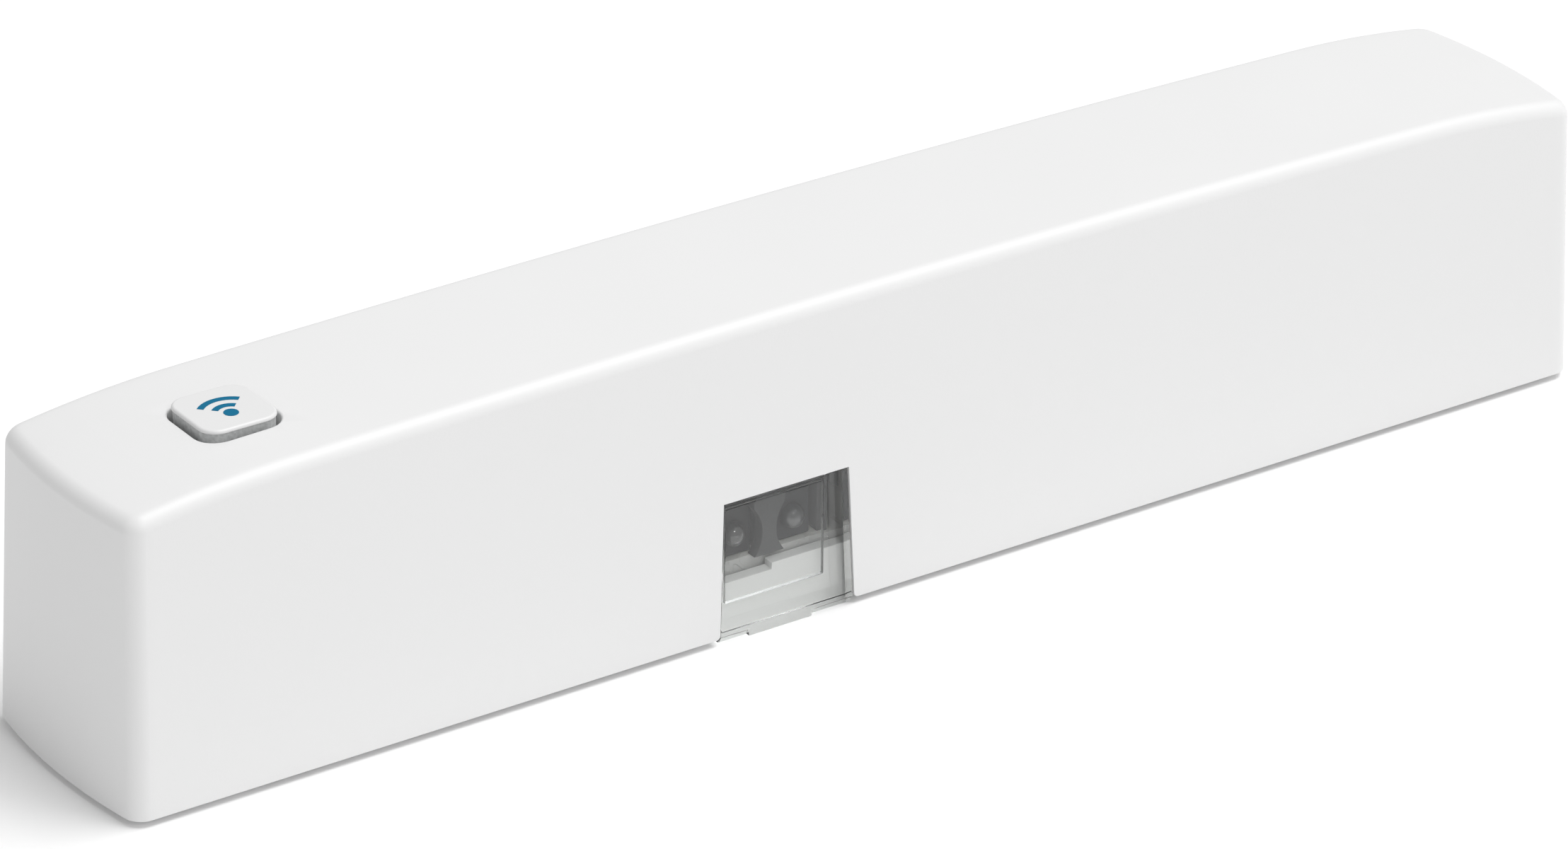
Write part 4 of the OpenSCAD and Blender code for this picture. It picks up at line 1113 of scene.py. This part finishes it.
# ---- Cell ----
# One AAA cell: a deep-drawn steel can whose nub is the positive end, a printed film sleeve shrunk
# over it, and at the negative end a black seal ring round a steel bottom.
def film_material():
    material, tree, surface = blank_material("cell_sleeve_film")
    nodes, links = tree.nodes, tree.links
    place = nodes.new("ShaderNodeTexCoord")
    split = nodes.new("ShaderNodeSeparateXYZ")
    links.new(place.outputs["Object"], split.inputs["Vector"])
    along = nodes.new("ShaderNodeMapRange")
    along.inputs["From Min"].default_value = sleeve_low.x * MM
    along.inputs["From Max"].default_value = sleeve_high.x * MM
    links.new(split.outputs["X"], along.inputs["Value"])
    bands = nodes.new("ShaderNodeValToRGB")
    bands.color_ramp.interpolation = "CONSTANT"
    stops = bands.color_ramp.elements
    stops[0].position, stops[0].color = 0, (0.45, 0.47, 0.48, 1)
    stops[1].position, stops[1].color = 0.10, (0.035, 0.10, 0.16, 1)
    for position, colour in (
        (0.66, (0.45, 0.47, 0.48, 1)),
        (0.675, (0.07, 0.20, 0.28, 1)),
    ):
        stop = stops.new(position)
        stop.color = colour
    links.new(along.outputs["Result"], bands.inputs["Fac"])
    creep = nodes.new("ShaderNodeTexNoise")
    creep.inputs["Scale"].default_value = 500
    links.new(place.outputs["Object"], creep.inputs["Vector"])
    relief = nodes.new("ShaderNodeBump")
    relief.inputs["Distance"].default_value = 0.000004
    links.new(creep.outputs["Fac"], relief.inputs["Height"])
    links.new(relief.outputs["Normal"], surface.inputs["Normal"])
    worn = nodes.new("ShaderNodeMapRange")
    worn.inputs["To Min"].default_value = 0.2
    worn.inputs["To Max"].default_value = 0.36
    links.new(creep.outputs["Fac"], worn.inputs["Value"])
    links.new(worn.outputs["Result"], surface.inputs["Roughness"])
    links.new(bands.outputs["Color"], surface.inputs["Base Color"])
    surface.inputs["Metallic"].default_value = 0.3
    surface.inputs["Coat Weight"].default_value = 0.5
    return material


sleeve_low, sleeve_high = box_mm("cell_sleeve")
can_low, can_high = box_mm("cell_can")
cell_radius = (sleeve_high.z - sleeve_low.z) / 2
can_radius = (can_high.z - can_low.z) / 2
can_wall = 0.25
nub_radius = 1.9
shoulder = sleeve_high.x
can = turned(
    [(0, can_high.x), (nub_radius, can_high.x), (nub_radius, shoulder + 0.1),
     (nub_radius + 0.5, shoulder - 0.02), (can_radius, shoulder - 0.02), (can_radius, can_low.x),
     (can_radius - can_wall, can_low.x), (can_radius - can_wall, shoulder - can_wall),
     (0, shoulder - can_wall)],
    (0, 0, cell_z), "X", 64,
)
rounded(can, sharp_edges(can, CREASE), 0.1, 3)
finished(can, "cell_body", "base", cell_steel, ("cell_can",))

film = turned(
    [(can_radius, sleeve_low.x), (cell_radius, sleeve_low.x), (cell_radius, sleeve_high.x),
     (can_radius, sleeve_high.x)],
    (0, 0, cell_z), "X", 64,
)
rounded(film, sharp_edges(film, CREASE), 0.04, 3)
finished(film, "cell_film", "base", film_material(), ("cell_sleeve",))

cell_seal_plastic = moulded_plastic("cell_seal_plastic", (0.02, 0.02, 0.02), 0.4, mottle=0.3)
eased_copy("cell_seal", "seal_ring", "base", cell_seal_plastic, 0.06)
eased_copy("cell_bottom", "negative_cap", "base", cell_steel, 0.08, 3)
cell_mix = fired_ceramic("cell_mix", (0.03, 0.03, 0.032), 0.9)
finish_node("cell_core", cell_mix)


# ---- Floor ----
# The seamless paper that the bar stands on.
floor_shape = bmesh.new()
bmesh.ops.create_grid(floor_shape, x_segments=1, y_segments=1, size=4)
floor_mesh = bpy.data.meshes.new("floor")
floor_shape.to_mesh(floor_mesh)
floor_shape.free()
floor_paper = bpy.data.materials.new("floor_paper")
floor_paper.use_nodes = True
floor_surface = floor_paper.node_tree.nodes["Principled BSDF"]
floor_surface.inputs["Base Color"].default_value = (0.95, 0.95, 0.95, 1)
floor_surface.inputs["Roughness"].default_value = 0.9
floor_surface.inputs["Emission Color"].default_value = (1, 1, 1, 1)
floor_surface.inputs["Emission Strength"].default_value = 0.05
floor_mesh.materials.append(floor_paper)
floor = bpy.data.objects.new("floor", floor_mesh)
floor.location.z = cad_bounds[0].z - 0.00002
scene.collection.objects.link(floor)
